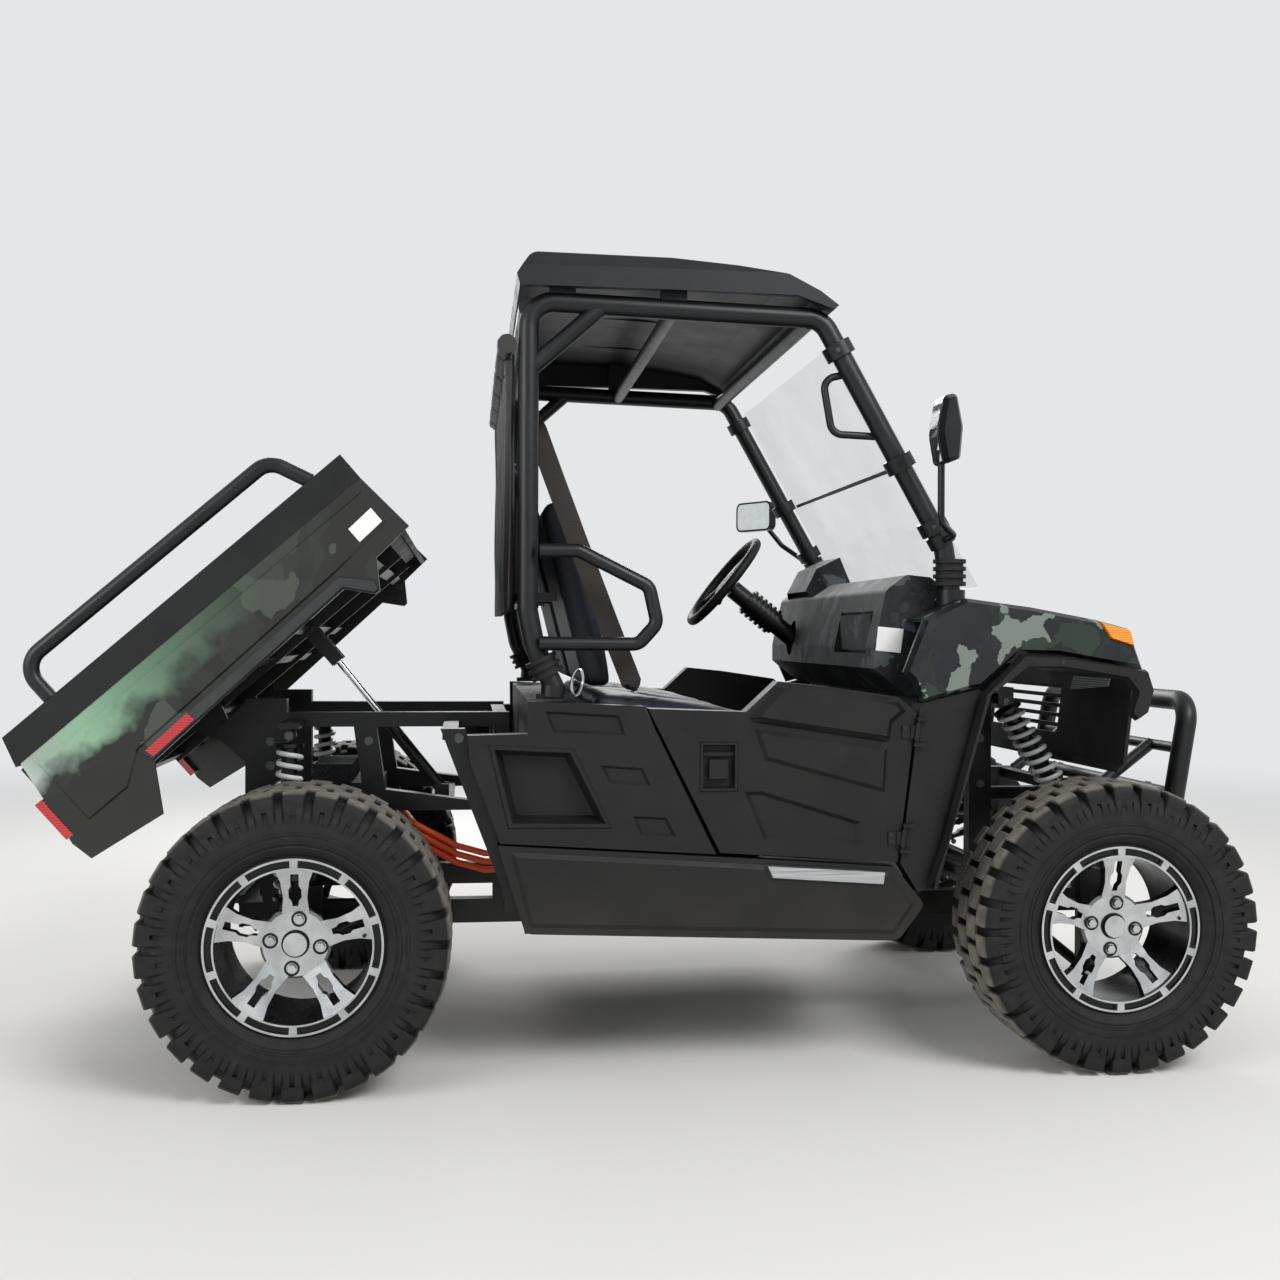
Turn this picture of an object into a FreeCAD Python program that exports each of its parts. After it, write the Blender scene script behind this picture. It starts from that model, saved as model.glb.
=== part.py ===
import FreeCAD, Part
import math
import os

# Side by side utility vehicle with a tipping cargo bed, in millimetres.
# X points forward, Y to the driver's left, Z up. While building, X is measured from halfway between
# the axles; CENTRE_X moves the finished pieces so that X is measured from the middle of the whole.

V = FreeCAD.Vector
AXIS_X = V(1, 0, 0)
AXIS_Y = V(0, 1, 0)
AXIS_Z = V(0, 0, 1)

# Overall sizes
SHIFT_X = 133.0
FLOOR_HALF = 640.0
DOOR_GAP = 5.0
DOOR_IN = FLOOR_HALF + DOOR_GAP
PANEL_T = 55.0
BODY_HALF = DOOR_IN + PANEL_T
CAGE_Y = FLOOR_HALF - 25
HIP_Y = CAGE_Y + 35
ROOF_HALF = CAGE_Y + 47
HOOD_HALF = 330.0
TUBE_R = 24.0
FLAT_SEAT = 0.3
FIT_GAP = 0.5

# Wheels
AXLE_X = 950.0
AXLE_Z = 343.0
TYRE_R = 343.0
FRONT_TYRE_W = 230.0
REAR_TYRE_W = 280.0
RIM_WIDTHS = {FRONT_TYRE_W: 190.0, REAR_TYRE_W: 230.0}
RIM_OUT = 742.0
TYRE_BULGE = 13.0
RIM_FLANGE_R = 195.0
RIM_SEAT_R = 182.0
RIM_BORE_R = 170.0
RIM_FLANGE_T = 8.0
HUB_RECESS = 42.0
HUB_R = 78.0
SPOKE_COUNT = 5
RIM_POCKETS = 10
LUG_COUNT = 26
LUG_DEPTH = 18.0
LUG_REACH = 49.0
LUG_ROOT_R = TYRE_R - LUG_DEPTH
LUG_FOOT_R = TYRE_R - LUG_REACH
LUG_PROUD = 9.0
LUG_SHARE = 0.52
LUG_GROOVE = 9.0
LUG_NUT_COUNT = 4
LUG_NUT_PCD = 110.0
SPINDLE_R = 18.0
HUB_OUT = 695.0

# Frame and suspension
FRAME_IN = 260.0
FRAME_OUT = 300.0
RAIL_BOTTOM = 300.0
RAIL_TOP = 360.0
UPPER_TOP = 832.0
POST_OUT = DOOR_IN - FLAT_SEAT
FLOOR_TOP = 368.0
EAR_T = 12.0
PIN_R = 10.0
FRONT_SHOCK_HEAD = (780.0, 426.0, 866.0)
FRONT_SHOCK_FOOT = (1000.0, 440.0, 514.0)
REAR_SHOCK_HEAD = (-998.0, 415.0, 784.0)
REAR_SHOCK_FOOT = (-1004.0, 427.0, 366.0)

SPRING_PITCH = 34.0

# Steering
KINGPIN_Y = 560.0
KINGPIN_R = 8.0
STEER_ARM = 110.0
TIE_Z = 388.0
TIE_R = 10.0
STEER_HUB = (196.0, 330.0, 1191.0)
STEER_DIR = (0.781, -0.625)
STEER_R = 152.0

# Seats, and the curtain that hangs against the rear pillars
SEAT_IN = 45.0
SEAT_OUT = FLOOR_HALF - 65
CURTAIN_X = -462.3
CURTAIN_HALF = CAGE_Y + 10

# Top line of the front fenders, rear to front
FENDER_TOP = [(580.0, 1118.0), (738.0, 1098.0), (901.0, 1069.0), (981.0, 1048.0)]

# Front pillars and windshield
PILLAR_TOP = (254.0, 0.0, 1780.0)
PILLAR_LOW = (556.0, 0.0, 1248.0)
GLASS_SET = 27.5
GLASS_T = 5.0
GLASS_HALF = CAGE_Y - 15
UPPER_PANE = (60.0, 400.0)
LOWER_PANE = (403.0, 745.0)

# Doors: two points on the hinge line
HINGE_R = 7.0
HINGE_PIN_R = 3.5
DOOR_HINGE = ((470.0, BODY_HALF + 8.5, 845.0), (428.0, BODY_HALF + 8.5, 520.0))

# Cargo bed
BED_PIVOT = (-1174.0, 781.0)
BED_TILT = 41.0
BED_HALF = 706.0
BED_FLOOR = 872.0
RAIL_TUBE_Y = BED_HALF - 16
STRUT_Y = -180.0
STRUT_EAR_IN = 20.0
STRUT_EAR_OUT = 28.0
STRUT_FOOT = (-640.0, 625.0)
STRUT_HEAD_LOW = (-855.0, 749.0)
HITCH_PIN_X = -1312.0
HITCH_PIN_Z = 348.0
HITCH_PIN_R = 8.25
TAILGATE_HINGE = (-1490.0, 878.0)



def box(x0, x1, y0, y1, z0, z1):
    return Part.makeBox(x1 - x0, y1 - y0, z1 - z0, V(x0, y0, z0))


def rod(p, q, r):
    p, q = V(*p), V(*q)
    return Part.makeCylinder(r, (q - p).Length, p, q - p)


def fuse(pieces):
    return pieces[0].multiFuse(pieces[1:]).removeSplitter()


def cut(shape, tools):
    for tool in tools:
        shape = shape.cut(tool)
    return shape


def pad(points, y0, y1, taper):
    """Pad or pocket with sloping sides, from its outline at y0 to one smaller by taper at y1."""
    foot = outline(points, side_plane(y0))
    top = foot.makeOffset2D(-taper, 2)
    top.translate(V(0, y1 - y0, 0))
    return Part.makeLoft([foot, top], True, True)


def ring_sector(centre, inner, outer, start, sweep, y0, y1):
    """Part of a ring about the axle line, from a start angle in degrees."""
    inside = Part.makeCylinder(inner, y1 - y0, V(centre.x, y0, centre.z), AXIS_Y, 360)
    sector = Part.makeCylinder(outer, y1 - y0, V(centre.x, y0, centre.z), AXIS_Y, sweep)
    return sector.cut(inside).rotated(centre, AXIS_Y, start)


def mirrored(shape):
    return shape.mirror(V(0, 0, 0), AXIS_Y)


def both_sides(shapes):
    return list(shapes) + [mirrored(s) for s in shapes]


def side_plane(y):
    """Puts an outline's (x, z) on the plane at that y."""
    return lambda p: V(p.x, y, p.y)


def plan_plane(z):
    return lambda p: V(p.x, p.y, z)


def front_plane(x):
    """Puts an outline's (y, z) on the plane at that x."""
    return lambda p: V(x, p.x, p.y)


def outline(points, place):
    """A closed wire through (a, b) or (a, b, corner radius)."""
    corners = []
    for i, p in enumerate(points):
        here = V(p[0], p[1], 0)
        radius = p[2] if len(p) > 2 else 0
        if not radius:
            corners.append((here, None, here))
            continue
        before = V(points[i - 1][0], points[i - 1][1], 0) - here
        after_point = points[(i + 1) % len(points)]
        after = V(after_point[0], after_point[1], 0) - here
        before.normalize()
        after.normalize()
        half = before.getAngle(after) / 2
        setback = radius / math.tan(half)
        bisector = (before + after).normalize()
        middle = here + bisector * (radius / math.sin(half) - radius)
        corners.append((here + before * setback, middle, here + after * setback))
    edges = []
    for i, (start, middle, end) in enumerate(corners):
        if middle is not None:
            edges.append(Part.Arc(place(start), place(middle), place(end)).toShape())
        following = corners[(i + 1) % len(corners)][0]
        if (following - end).Length > 1e-6:
            edges.append(Part.LineSegment(place(end), place(following)).toShape())
    return Part.Wire(edges)


def side_plate(points, y0, y1):
    """An (x, z) outline extruded from y0 to y1."""
    return Part.Face(outline(points, side_plane(y0))).extrude(V(0, y1 - y0, 0))


def plan_plate(points, z0, z1):
    return Part.Face(outline(points, plan_plane(z0))).extrude(V(0, 0, z1 - z0))


def front_plate(points, x0, x1):
    return Part.Face(outline(points, front_plane(x0))).extrude(V(x1 - x0, 0, 0))


def bend_path(points, bend):
    """Straight runs joined by tangent arcs of radius bend."""
    points = [V(*p) for p in points]
    edges = []
    last = points[0]
    for i in range(1, len(points) - 1):
        here = points[i]
        before = (points[i - 1] - here).normalize()
        after = (points[i + 1] - here).normalize()
        half = before.getAngle(after) / 2
        setback = bend / math.tan(half)
        bisector = (before + after).normalize()
        start, end = here + before * setback, here + after * setback
        middle = here + bisector * (bend / math.sin(half) - bend)
        if (start - last).Length > 1e-6:
            edges.append(Part.LineSegment(last, start).toShape())
        edges.append(Part.Arc(start, middle, end).toShape())
        last = end
    edges.append(Part.LineSegment(last, points[-1]).toShape())
    return Part.Wire(edges)


def pipe(points, radius, bend):
    path = bend_path(points, bend)
    start, direction = V(*points[0]), V(*points[1]) - V(*points[0])
    profile = Part.Wire([Part.Circle(start, direction, radius).toShape()])
    return path.makePipeShell([profile], True, False)


def revolved(profile, centre, axis):
    """A closed (radius, along) profile turned about axis through centre."""
    side = AXIS_X if abs(axis.x) < 0.9 else AXIS_Z
    across = (side - axis * side.dot(axis)).normalize()
    wire = outline(profile, lambda p: centre + across * p.x + axis * p.y)
    return Part.Face(wire).revolve(centre, axis, 360)


# Ladder frame

def chassis_frame():
    """Flat ladder of two rails with cross members and outriggers for the floor."""
    pieces = both_sides([box(-1080, 1120, FRAME_IN, FRAME_OUT, RAIL_BOTTOM, RAIL_TOP)])
    for x in (-1060, -760, -420, 60, 460, 1070):
        pieces.append(box(x - 20, x + 20, -FRAME_IN, FRAME_IN, RAIL_BOTTOM + 5, RAIL_TOP - 5))
    for x in (-420, 60, 460):
        pieces += both_sides([box(x - 20, x + 20, FRAME_OUT - 1, FLOOR_HALF - 50, RAIL_TOP - 30, RAIL_TOP)])
    return fuse(pieces)


def front_frame():
    """Shock towers and front uprights on the rails, with the arm pivots."""
    foot = RAIL_TOP + FLAT_SEAT
    tower = box(740, 800, FRAME_IN, FRAME_OUT, foot, 900)
    front_upright = box(1040, 1090, FRAME_IN, FRAME_OUT, foot, 630)
    front_rail = box(740, 1090, FRAME_IN, FRAME_OUT, 600, 630)
    arm_pivot = rod((790, 292, 480), (1050, 292, 480), 10)
    shock_arm = box(755, 800, FRAME_OUT - 1, 452, 884, 900)
    shock_ear = box(760, 800, 444, 452, 858, 885)
    shock_ear_in = box(760, 800, 400, 408, 858, 885)
    cross = [box(x - 18, x + 18, -FRAME_IN, FRAME_IN, z - 10, z + 18) for x, z in ((770, 880), (1065, 610))]
    return fuse(both_sides([tower, front_upright, front_rail, arm_pivot, shock_arm, shock_ear, shock_ear_in]) + cross)


def rear_frame():
    """Uprights and upper rails behind the cab, bed hinge ears and strut bracket."""
    foot = RAIL_TOP + FLAT_SEAT
    upper = box(-1121, -470, FRAME_IN, FRAME_OUT, 796, UPPER_TOP)
    cab_upright = box(-510, -470, FRAME_IN, FRAME_OUT, foot, UPPER_TOP)
    rear_upright = side_plate([(-1121, 866), (-1021, 866), (-1021, 621), (-1001, foot), (-1077, foot),
                               (-1121, 621)], FRAME_IN, FRAME_OUT)
    mid_upright = side_plate([(-860, 817), (-805, 817), (-737, foot), (-796, foot)], FRAME_IN, FRAME_OUT)
    shock_arm = box(-1022, -975, FRAME_OUT - 1, 440, REAR_SHOCK_HEAD[2] + 15 + FLAT_SEAT, 814)
    hinge_ear = side_plate([(-1110, 866), (-1174, 805, 20), (-1198, 781, 16), (-1174, 757, 16), (-1110, 700)],
                           FRAME_IN, FRAME_IN + EAR_T)
    hinge_ear_out = hinge_ear.translated(V(0, FRAME_OUT - FRAME_IN - EAR_T, 0))
    hinge_pin = rod((BED_PIVOT[0], FRAME_IN, BED_PIVOT[1]), (BED_PIVOT[0], FRAME_OUT, BED_PIVOT[1]), PIN_R)
    foot_x = STRUT_FOOT[0]
    strut_seat = box(foot_x - 30, foot_x + 30, FRAME_IN, FRAME_OUT, 585, 597)
    strut_rail = side_plate([(-790, 640), (-480, 597), (-480, 585), (-770, 585)], FRAME_IN, FRAME_OUT)
    pieces = both_sides([upper, cab_upright, rear_upright, mid_upright, shock_arm, hinge_ear, hinge_ear_out,
                         hinge_pin, strut_seat, strut_rail])
    pieces += [box(x - 18, x + 18, -FRAME_IN, FRAME_IN, z - 10, z + 18) for x, z in ((-1090, 805), (-490, 806))]
    pieces.append(box(foot_x - 30, foot_x + 30, -FRAME_IN, FRAME_IN, 585, 597))
    for y in (-STRUT_EAR_OUT, STRUT_EAR_IN):
        pieces.append(box(foot_x - 18, foot_x + 18, STRUT_Y + y, STRUT_Y + y + 8, 590, STRUT_FOOT[1] + 16))
    return fuse(pieces)


def side_posts():
    """Leaning posts beside the bed front, carried off the rear frame."""
    post = side_plate([(-636, 813), (-580, 813), (-433, 431), (-489, 431)], FLOOR_HALF - 40, POST_OUT)
    foot = box(-489, -433, FRAME_OUT + FLAT_SEAT, POST_OUT, 392, 432)
    head = box(-632, -596, FRAME_OUT + FLAT_SEAT, FLOOR_HALF - 30, 785, 812)
    return Part.makeCompound(both_sides([fuse([post, foot, head])]))


def hitch_receiver():
    """Plate across the rail ends with a square receiver tube."""
    plate = box(-1135, -1124, -300, 300, 300, 380)
    tube = box(HITCH_PIN_X - 25, -1134, -38, 38, 310, 386)
    tube = tube.cut(box(HITCH_PIN_X - 26, -1120, -25.5, 25.5, 323, 374))
    pin_hole = rod((HITCH_PIN_X, -60, HITCH_PIN_Z), (HITCH_PIN_X, 60, HITCH_PIN_Z), HITCH_PIN_R)
    arms = both_sides([box(-1125, -1080 - FLAT_SEAT, 262, 298, 302, RAIL_TOP)])
    plate = plate.cut(box(-1140, -1100, -25.5, 25.5, 323, 374))
    return fuse([cut(tube, [pin_hole]), plate] + arms)


# Front end

def front_bumper():
    top, foot = (1284, 863), (1240, 600)
    loop = pipe([(foot[0], -430, foot[1]), (top[0], -430, top[1]), (top[0], 430, top[1]),
                 (foot[0], 430, foot[1])], 26, 60)
    lower = rod((foot[0] + 3, -430, foot[1] + 20), (foot[0] + 3, 430, foot[1] + 20), 18)
    mid = rod((1263, -430, 740), (1263, 430, 740), 14)
    arms = both_sides([
        rod((1075, 280, 606), (1258, 280, 745), 16).cut(box(1000, 1090 + FLAT_SEAT, 200, 400, 500, 800)),
        side_plate([(1095, 345), (1120.5, 345), (1130, 400), (1250, 590), (1250, 640), (1215, 620), (1095, 400)],
                   265, 295).cut(box(1000, 1120.3, 250, 310, 290, RAIL_TOP + 0.3)),
    ])
    return fuse([loop, lower, mid] + arms)


def front_arms():
    arms = []
    for pivots, end in ((((830, 300, 330), (1070, 300, 330)), (AXLE_X, KINGPIN_Y, 204)),
                        (((865, 301, 480), (1030, 301, 480)), (AXLE_X, KINGPIN_Y, 477))):
        legs = [rod(p, end, 13) for p in pivots]
        boss = rod((end[0], end[1], end[2] - 10), (end[0], end[1], end[2] + 10), 18)
        arms.append(fuse(legs + [boss]))
    lower_pin = rod((AXLE_X, KINGPIN_Y, 204), (AXLE_X, KINGPIN_Y, 262), KINGPIN_R)
    upper_pin = rod((AXLE_X, KINGPIN_Y, 436), (AXLE_X, KINGPIN_Y, 472), KINGPIN_R)
    shock_foot = box(978, 1016, 426, 454, 466, 497.5)
    lower = fuse([arms[0], lower_pin])
    upper = fuse([arms[1], upper_pin, shock_foot])
    solids = [lower.cut(box(800, 1100, 255, FRAME_OUT + FLAT_SEAT, 280, 400)),
              upper.cut(box(700, 1100, 255, FRAME_OUT + FLAT_SEAT, 400, 600))]
    solids = [s.cut(rod((700, 292, 480), (1100, 292, 480), 10 + FLAT_SEAT)) for s in solids]
    return both_sides(solids)


def rear_arms():
    carrier = box(-985, -915, 458, 494, 270, 430)
    spindle = rod((-AXLE_X, 470, AXLE_Z), (-AXLE_X, HUB_OUT, AXLE_Z), SPINDLE_R)
    legs = []
    for pivots, end in ((((-1040, 300, 330), (-835, 300, 330)), (-AXLE_X, 476, 295)),
                        (((-815, 300, 520),), (-AXLE_X, 476, 415))):
        legs += [rod(p, end, 13) for p in pivots]
    foot = box(-1022, -968, 410, 444, 296, 350)
    arm = fuse([carrier, spindle, foot] + legs)
    arm = arm.cut(box(-1200, -700, 250, FRAME_OUT + FLAT_SEAT, 290, 600))
    return both_sides([arm])


def suspension_arms():
    return Part.makeCompound(front_arms() + rear_arms())


def coil_shock(head, foot, body_r, spring_r, eye_r):
    """Damper with its eyes across Y and the turns of a coil spring between two seats."""
    head_v, foot_v = V(*head), V(*foot)
    line = (foot_v - head_v).normalize()
    a, b = head_v + line * eye_r, foot_v - line * eye_r
    length = (b - a).Length
    eyes = [rod((p[0], p[1] - 15, p[2]), (p[0], p[1] + 15, p[2]), eye_r) for p in (head, foot)]
    stem = Part.makeCylinder(body_r * 0.45, length + eye_r, a - line * eye_r * 0.5, line)
    profile = [(0, 6), (spring_r, 6), (spring_r, 14)]
    turns = int((length - 38) / SPRING_PITCH)
    pitch = (length - 38) / turns
    for i in range(turns):
        start = 14 + pitch * i
        profile += [(body_r, start), (body_r, start + pitch * 0.55), (spring_r, start + pitch * 0.55),
                    (spring_r, start + pitch)]
    profile += [(spring_r, length - 12), (0, length - 12)]
    return fuse(eyes + [stem, revolved(profile, a, line)])


def coil_shocks():
    front = coil_shock(FRONT_SHOCK_HEAD, FRONT_SHOCK_FOOT, 22, 34, 16)
    rear = coil_shock(REAR_SHOCK_HEAD, REAR_SHOCK_FOOT, 20, 31, 15)
    return Part.makeCompound(both_sides([front, rear]))


def motor_block():
    case = box(-985, -800, -150, 150, 380, 640)
    gearcase = box(-1005, -895, -90, 90, 365, 460)
    fins = [box(-972, -874, y, y + 6, 639, 688) for y in range(-140, 140, 20)]
    shafts = both_sides([rod((-AXLE_X, 85, AXLE_Z + 82), (-AXLE_X, 454, AXLE_Z + 10), 14)])
    feet = both_sides([box(-870, -820, 149, FRAME_IN - FLAT_SEAT, 480, 500)])
    return fuse([case, gearcase] + fins + shafts + feet)


def battery_block():
    return box(-380, 60, -250, 250, FLOOR_TOP + FLAT_SEAT, 640)


def hv_cables():
    runs = []
    for i in range(3):
        y, drop = -334 - 4 * i, 20 * i
        runs.append(pipe([(-800 + FLAT_SEAT, -80 - 24 * i, 562 - drop), (-745, -80 - 24 * i, 562 - drop),
                          (-705, y, 556 - drop), (-600, y, 500 - drop), (-530, y, 480 - drop),
                          (-432 - FLAT_SEAT, y, 480 - drop)], 8, 20))
    return Part.makeCompound(runs)


# Steering

def knuckle(side):
    upright = box(AXLE_X - 26, AXLE_X + 26, KINGPIN_Y - 15, KINGPIN_Y + 15, 240, 458)
    spindle = rod((AXLE_X, KINGPIN_Y, AXLE_Z), (AXLE_X, HUB_OUT, AXLE_Z), SPINDLE_R)
    arm = box(AXLE_X - STEER_ARM - 14, AXLE_X - 20, KINGPIN_Y - 12, KINGPIN_Y + 12, 362, TIE_Z - 7.5)
    bore = rod((AXLE_X, KINGPIN_Y, 200), (AXLE_X, KINGPIN_Y, 264), KINGPIN_R + FIT_GAP)
    bore_top = rod((AXLE_X, KINGPIN_Y, 434), (AXLE_X, KINGPIN_Y, 500), KINGPIN_R + FIT_GAP)
    shape = cut(fuse([upright, spindle, arm]), [bore, bore_top])
    return shape if side > 0 else mirrored(shape)


def tie_rods():
    x = AXLE_X - STEER_ARM
    bar = rod((x, -KINGPIN_Y, TIE_Z), (x, KINGPIN_Y, TIE_Z), TIE_R)
    eyes = both_sides([rod((x, KINGPIN_Y, TIE_Z - 7), (x, KINGPIN_Y, TIE_Z + 7), 13)])
    trim = [box(x - 40, x + 40, s * KINGPIN_Y - 40, s * KINGPIN_Y + 40, TIE_Z - 40, TIE_Z - 7) for s in (-1, 1)]
    return cut(fuse([bar] + eyes), trim)


def rack_housing():
    """Tube the rack slides in, on a beam between the rails."""
    x = AXLE_X - STEER_ARM
    tube = rod((x, -190, TIE_Z), (x, 190, TIE_Z), 26)
    feet = [box(x - 20, x + 20, s * 150 - 15, s * 150 + 15, 340, TIE_Z) for s in (-1, 1)]
    beam = box(x - 20, x + 20, -FRAME_IN + FLAT_SEAT, FRAME_IN - FLAT_SEAT, 325, 345)
    pinion = rod((x - 24, 150, TIE_Z - 5), (x - 24, 150, TIE_Z + 60), 16)
    return [tube, beam, pinion] + feet


def steering_shaft(radius):
    x = AXLE_X - STEER_ARM - 24
    return pipe([wheel_point(290), wheel_point(430), (x, 150, 620), (x, 150, TIE_Z + 40)], radius, 20)


def steering_gear():
    """Column with its rubber bellows, shaft down to the pinion and rack housing."""
    shroud = rod(wheel_point(36), wheel_point(300), 28)
    ribs = [rod(wheel_point(96 + 18 * i), wheel_point(105 + 18 * i), 42) for i in range(6)]
    boot = rod(wheel_point(90), wheel_point(206), 35)
    x = AXLE_X - STEER_ARM
    shaft = steering_shaft(10)
    rack_way = rod((x, -300, TIE_Z), (x, 300, TIE_Z), TIE_R + FIT_GAP)
    shape = fuse([shroud, boot, shaft] + ribs + rack_housing())
    return cut(shape, [rod(wheel_point(20), wheel_point(70), 10 + FIT_GAP), rack_way])


def wheel_point(along):
    d = STEER_DIR
    return (STEER_HUB[0] + d[0] * along, STEER_HUB[1], STEER_HUB[2] + d[1] * along)


def steering_wheel():
    axis = V(STEER_DIR[0], 0, STEER_DIR[1])
    centre = V(*STEER_HUB)
    rim = Part.makeTorus(STEER_R, 14, centre, axis)
    hub = Part.makeCylinder(44, 26, centre + axis * 2, axis)
    stub = Part.makeCylinder(10, 60, centre + axis * 4, axis)
    up = V(axis.z, 0, -axis.x) * -1
    spokes = []
    for angle in (90, 210, 330):
        a = math.radians(angle)
        out = up * math.sin(a) + AXIS_Y * math.cos(a)
        spokes.append(Part.makeCylinder(9, STEER_R, centre + axis * 10, out))
    return fuse([rim, hub, stub] + spokes)


# Wheels

def spoke_pair(centre, face, out, i):
    """Two spokes side by side with a notched slot between them, sloping out from the hub to the barrel."""
    half = [(30, 64), (26, 104), (31, 140), (44, RIM_BORE_R + 3)]
    points = [(centre.x + a, centre.z + r) for a, r in half] + [(centre.x - a, centre.z + r) for a, r in reversed(half)]
    sheet = side_plate(points, face - 30, out)
    slot = [(6, 84), (8, 96), (14, 104), (14, 122), (9, 130), (9, 158)]
    points = [(centre.x + a, centre.z + r) for a, r in slot] + [(centre.x - a, centre.z + r) for a, r in reversed(slot)]
    sheet = sheet.cut(side_plate(points, face - 31, out + 1))
    slope = front_plate([(face - 26, centre.z + 60), (out - 36, centre.z + RIM_BORE_R + 5),
                         (out - 10, centre.z + RIM_BORE_R + 5), (face - 3, centre.z + 60)], centre.x - 70, centre.x + 70)
    return sheet.common(slope).rotated(centre, AXIS_Y, 360.0 / SPOKE_COUNT * i)


def rim(x, side, width):
    """Barrel with ten pockets in its lip, and a dished face of five double spokes."""
    out = RIM_OUT
    inner = out - width
    centre = V(x, 0, AXLE_Z)
    profile = [(RIM_BORE_R, inner), (RIM_FLANGE_R, inner), (RIM_FLANGE_R, inner + RIM_FLANGE_T),
               (RIM_SEAT_R, inner + RIM_FLANGE_T), (RIM_SEAT_R, out - RIM_FLANGE_T),
               (RIM_FLANGE_R, out - RIM_FLANGE_T), (RIM_FLANGE_R, out), (RIM_BORE_R, out)]
    barrel = revolved(profile, centre, AXIS_Y)
    face = out - HUB_RECESS
    spokes = [spoke_pair(centre, face, out, i) for i in range(SPOKE_COUNT)]
    hub = revolved([(SPINDLE_R + FIT_GAP, face - 60), (42, face - 60), (42, face - 26), (HUB_R, face - 26),
                    (HUB_R, face - 6), (HUB_R - 6, face), (SPINDLE_R + FIT_GAP, face)], centre, AXIS_Y)
    cap = rod((x, face - 1, AXLE_Z), (x, face + 11, AXLE_Z), 26)
    nuts = []
    for i in range(LUG_NUT_COUNT):
        a = math.radians(360.0 / LUG_NUT_COUNT * i + 8)
        px, pz = x + LUG_NUT_PCD / 2 * math.sin(a), AXLE_Z + LUG_NUT_PCD / 2 * math.cos(a)
        corners = [(px + 10 * math.cos(math.radians(60 * j)), pz + 10 * math.sin(math.radians(60 * j))) for j in range(6)]
        nuts.append(side_plate(corners, face - 2, face + 9))
    shape = fuse([barrel, hub, cap] + spokes + nuts)
    pitch = 360.0 / RIM_POCKETS
    pockets = [ring_sector(centre, 177, 189, pitch * i + 5, pitch - 10, out - 4, out + 1) for i in range(RIM_POCKETS)]
    shape = cut(shape, pockets)
    return shape if side > 0 else mirrored(shape)


def lug_row(centre, y_middle, y_end, phase):
    """Square tread blocks from near the middle of the tyre out over one shoulder and down its side.

    At phase 0 a block's corner is at the lowest point, where the tyre stands."""
    back = (LUG_PROUD + 4) * (1 if y_middle > y_end else -1)
    half = LUG_SHARE * math.pi * TYRE_R / LUG_COUNT
    crest = math.sqrt(TYRE_R ** 2 - half ** 2)
    root = LUG_ROOT_R - 4
    section = [(y_middle, root), (y_middle, crest), (y_end + back, crest), (y_end, crest - 6), (y_end, LUG_FOOT_R),
               (y_end + back, LUG_FOOT_R), (y_end + back, root)]
    block = front_plate([(y, centre.z + r) for y, r in section], centre.x - half, centre.x + half)
    return [block.rotated(centre, AXIS_Y, 360.0 / LUG_COUNT * (i + phase + LUG_SHARE / 2)) for i in range(LUG_COUNT)]


def tyre(x, side, width):
    """Hollow carcass seated on the rim, with lugs wrapped over both shoulders."""
    out = RIM_OUT - RIM_FLANGE_T - FLAT_SEAT
    crown = RIM_OUT + TYRE_BULGE
    inner_rim = RIM_OUT - RIM_WIDTHS[width] + RIM_FLANGE_T + FLAT_SEAT
    inner = crown - width
    seat = RIM_SEAT_R + FLAT_SEAT
    bead = RIM_FLANGE_R + 8
    wall = LUG_FOOT_R - 30
    outer = [(seat, inner_rim), (bead, inner_rim), (wall, inner), (LUG_FOOT_R - 4, inner + LUG_PROUD),
             (LUG_ROOT_R, inner + LUG_PROUD), (LUG_ROOT_R, crown - LUG_PROUD), (LUG_FOOT_R - 4, crown - LUG_PROUD),
             (wall, crown), (bead, out), (seat, out)]
    hollow = [(seat - 1, inner_rim + 14), (LUG_ROOT_R - 16, inner_rim + 14), (LUG_ROOT_R - 16, out - 14),
              (seat - 1, out - 14)]
    centre = V(x, 0, AXLE_Z)
    carcass = revolved(outer, centre, AXIS_Y).cut(revolved(hollow, centre, AXIS_Y))
    middle = (inner + crown) / 2
    blocks = lug_row(centre, middle + LUG_GROOVE / 2, crown - 2, 0) + lug_row(centre, middle - LUG_GROOVE / 2, inner + 2, 0.5)
    shape = carcass.fuse(blocks)
    return shape if side > 0 else mirrored(shape)


# Cab

def cab_floor():
    pan = box(-440, 480, -FLOOR_HALF, FLOOR_HALF, RAIL_TOP + FLAT_SEAT, FLOOR_TOP)
    firewall = side_plate([(474, RAIL_TOP + 1), (480, RAIL_TOP + 1), (546, 885), (540, 885)], -FLOOR_HALF, FLOOR_HALF)
    toe_board = side_plate([(390, FLOOR_TOP - 1), (492, 520), (496, 520), (478, FLOOR_TOP - 1)],
                           -FLOOR_HALF, FLOOR_HALF)
    wall = box(-432, -424, -FLOOR_HALF, FLOOR_HALF, FLOOR_TOP - 1, 872)
    shelf = box(-425, -300, -FLOOR_HALF, FLOOR_HALF, 864, 872)
    shape = fuse([pan, firewall, toe_board, wall, shelf])
    return shape.cut(steering_shaft(16))


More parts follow.
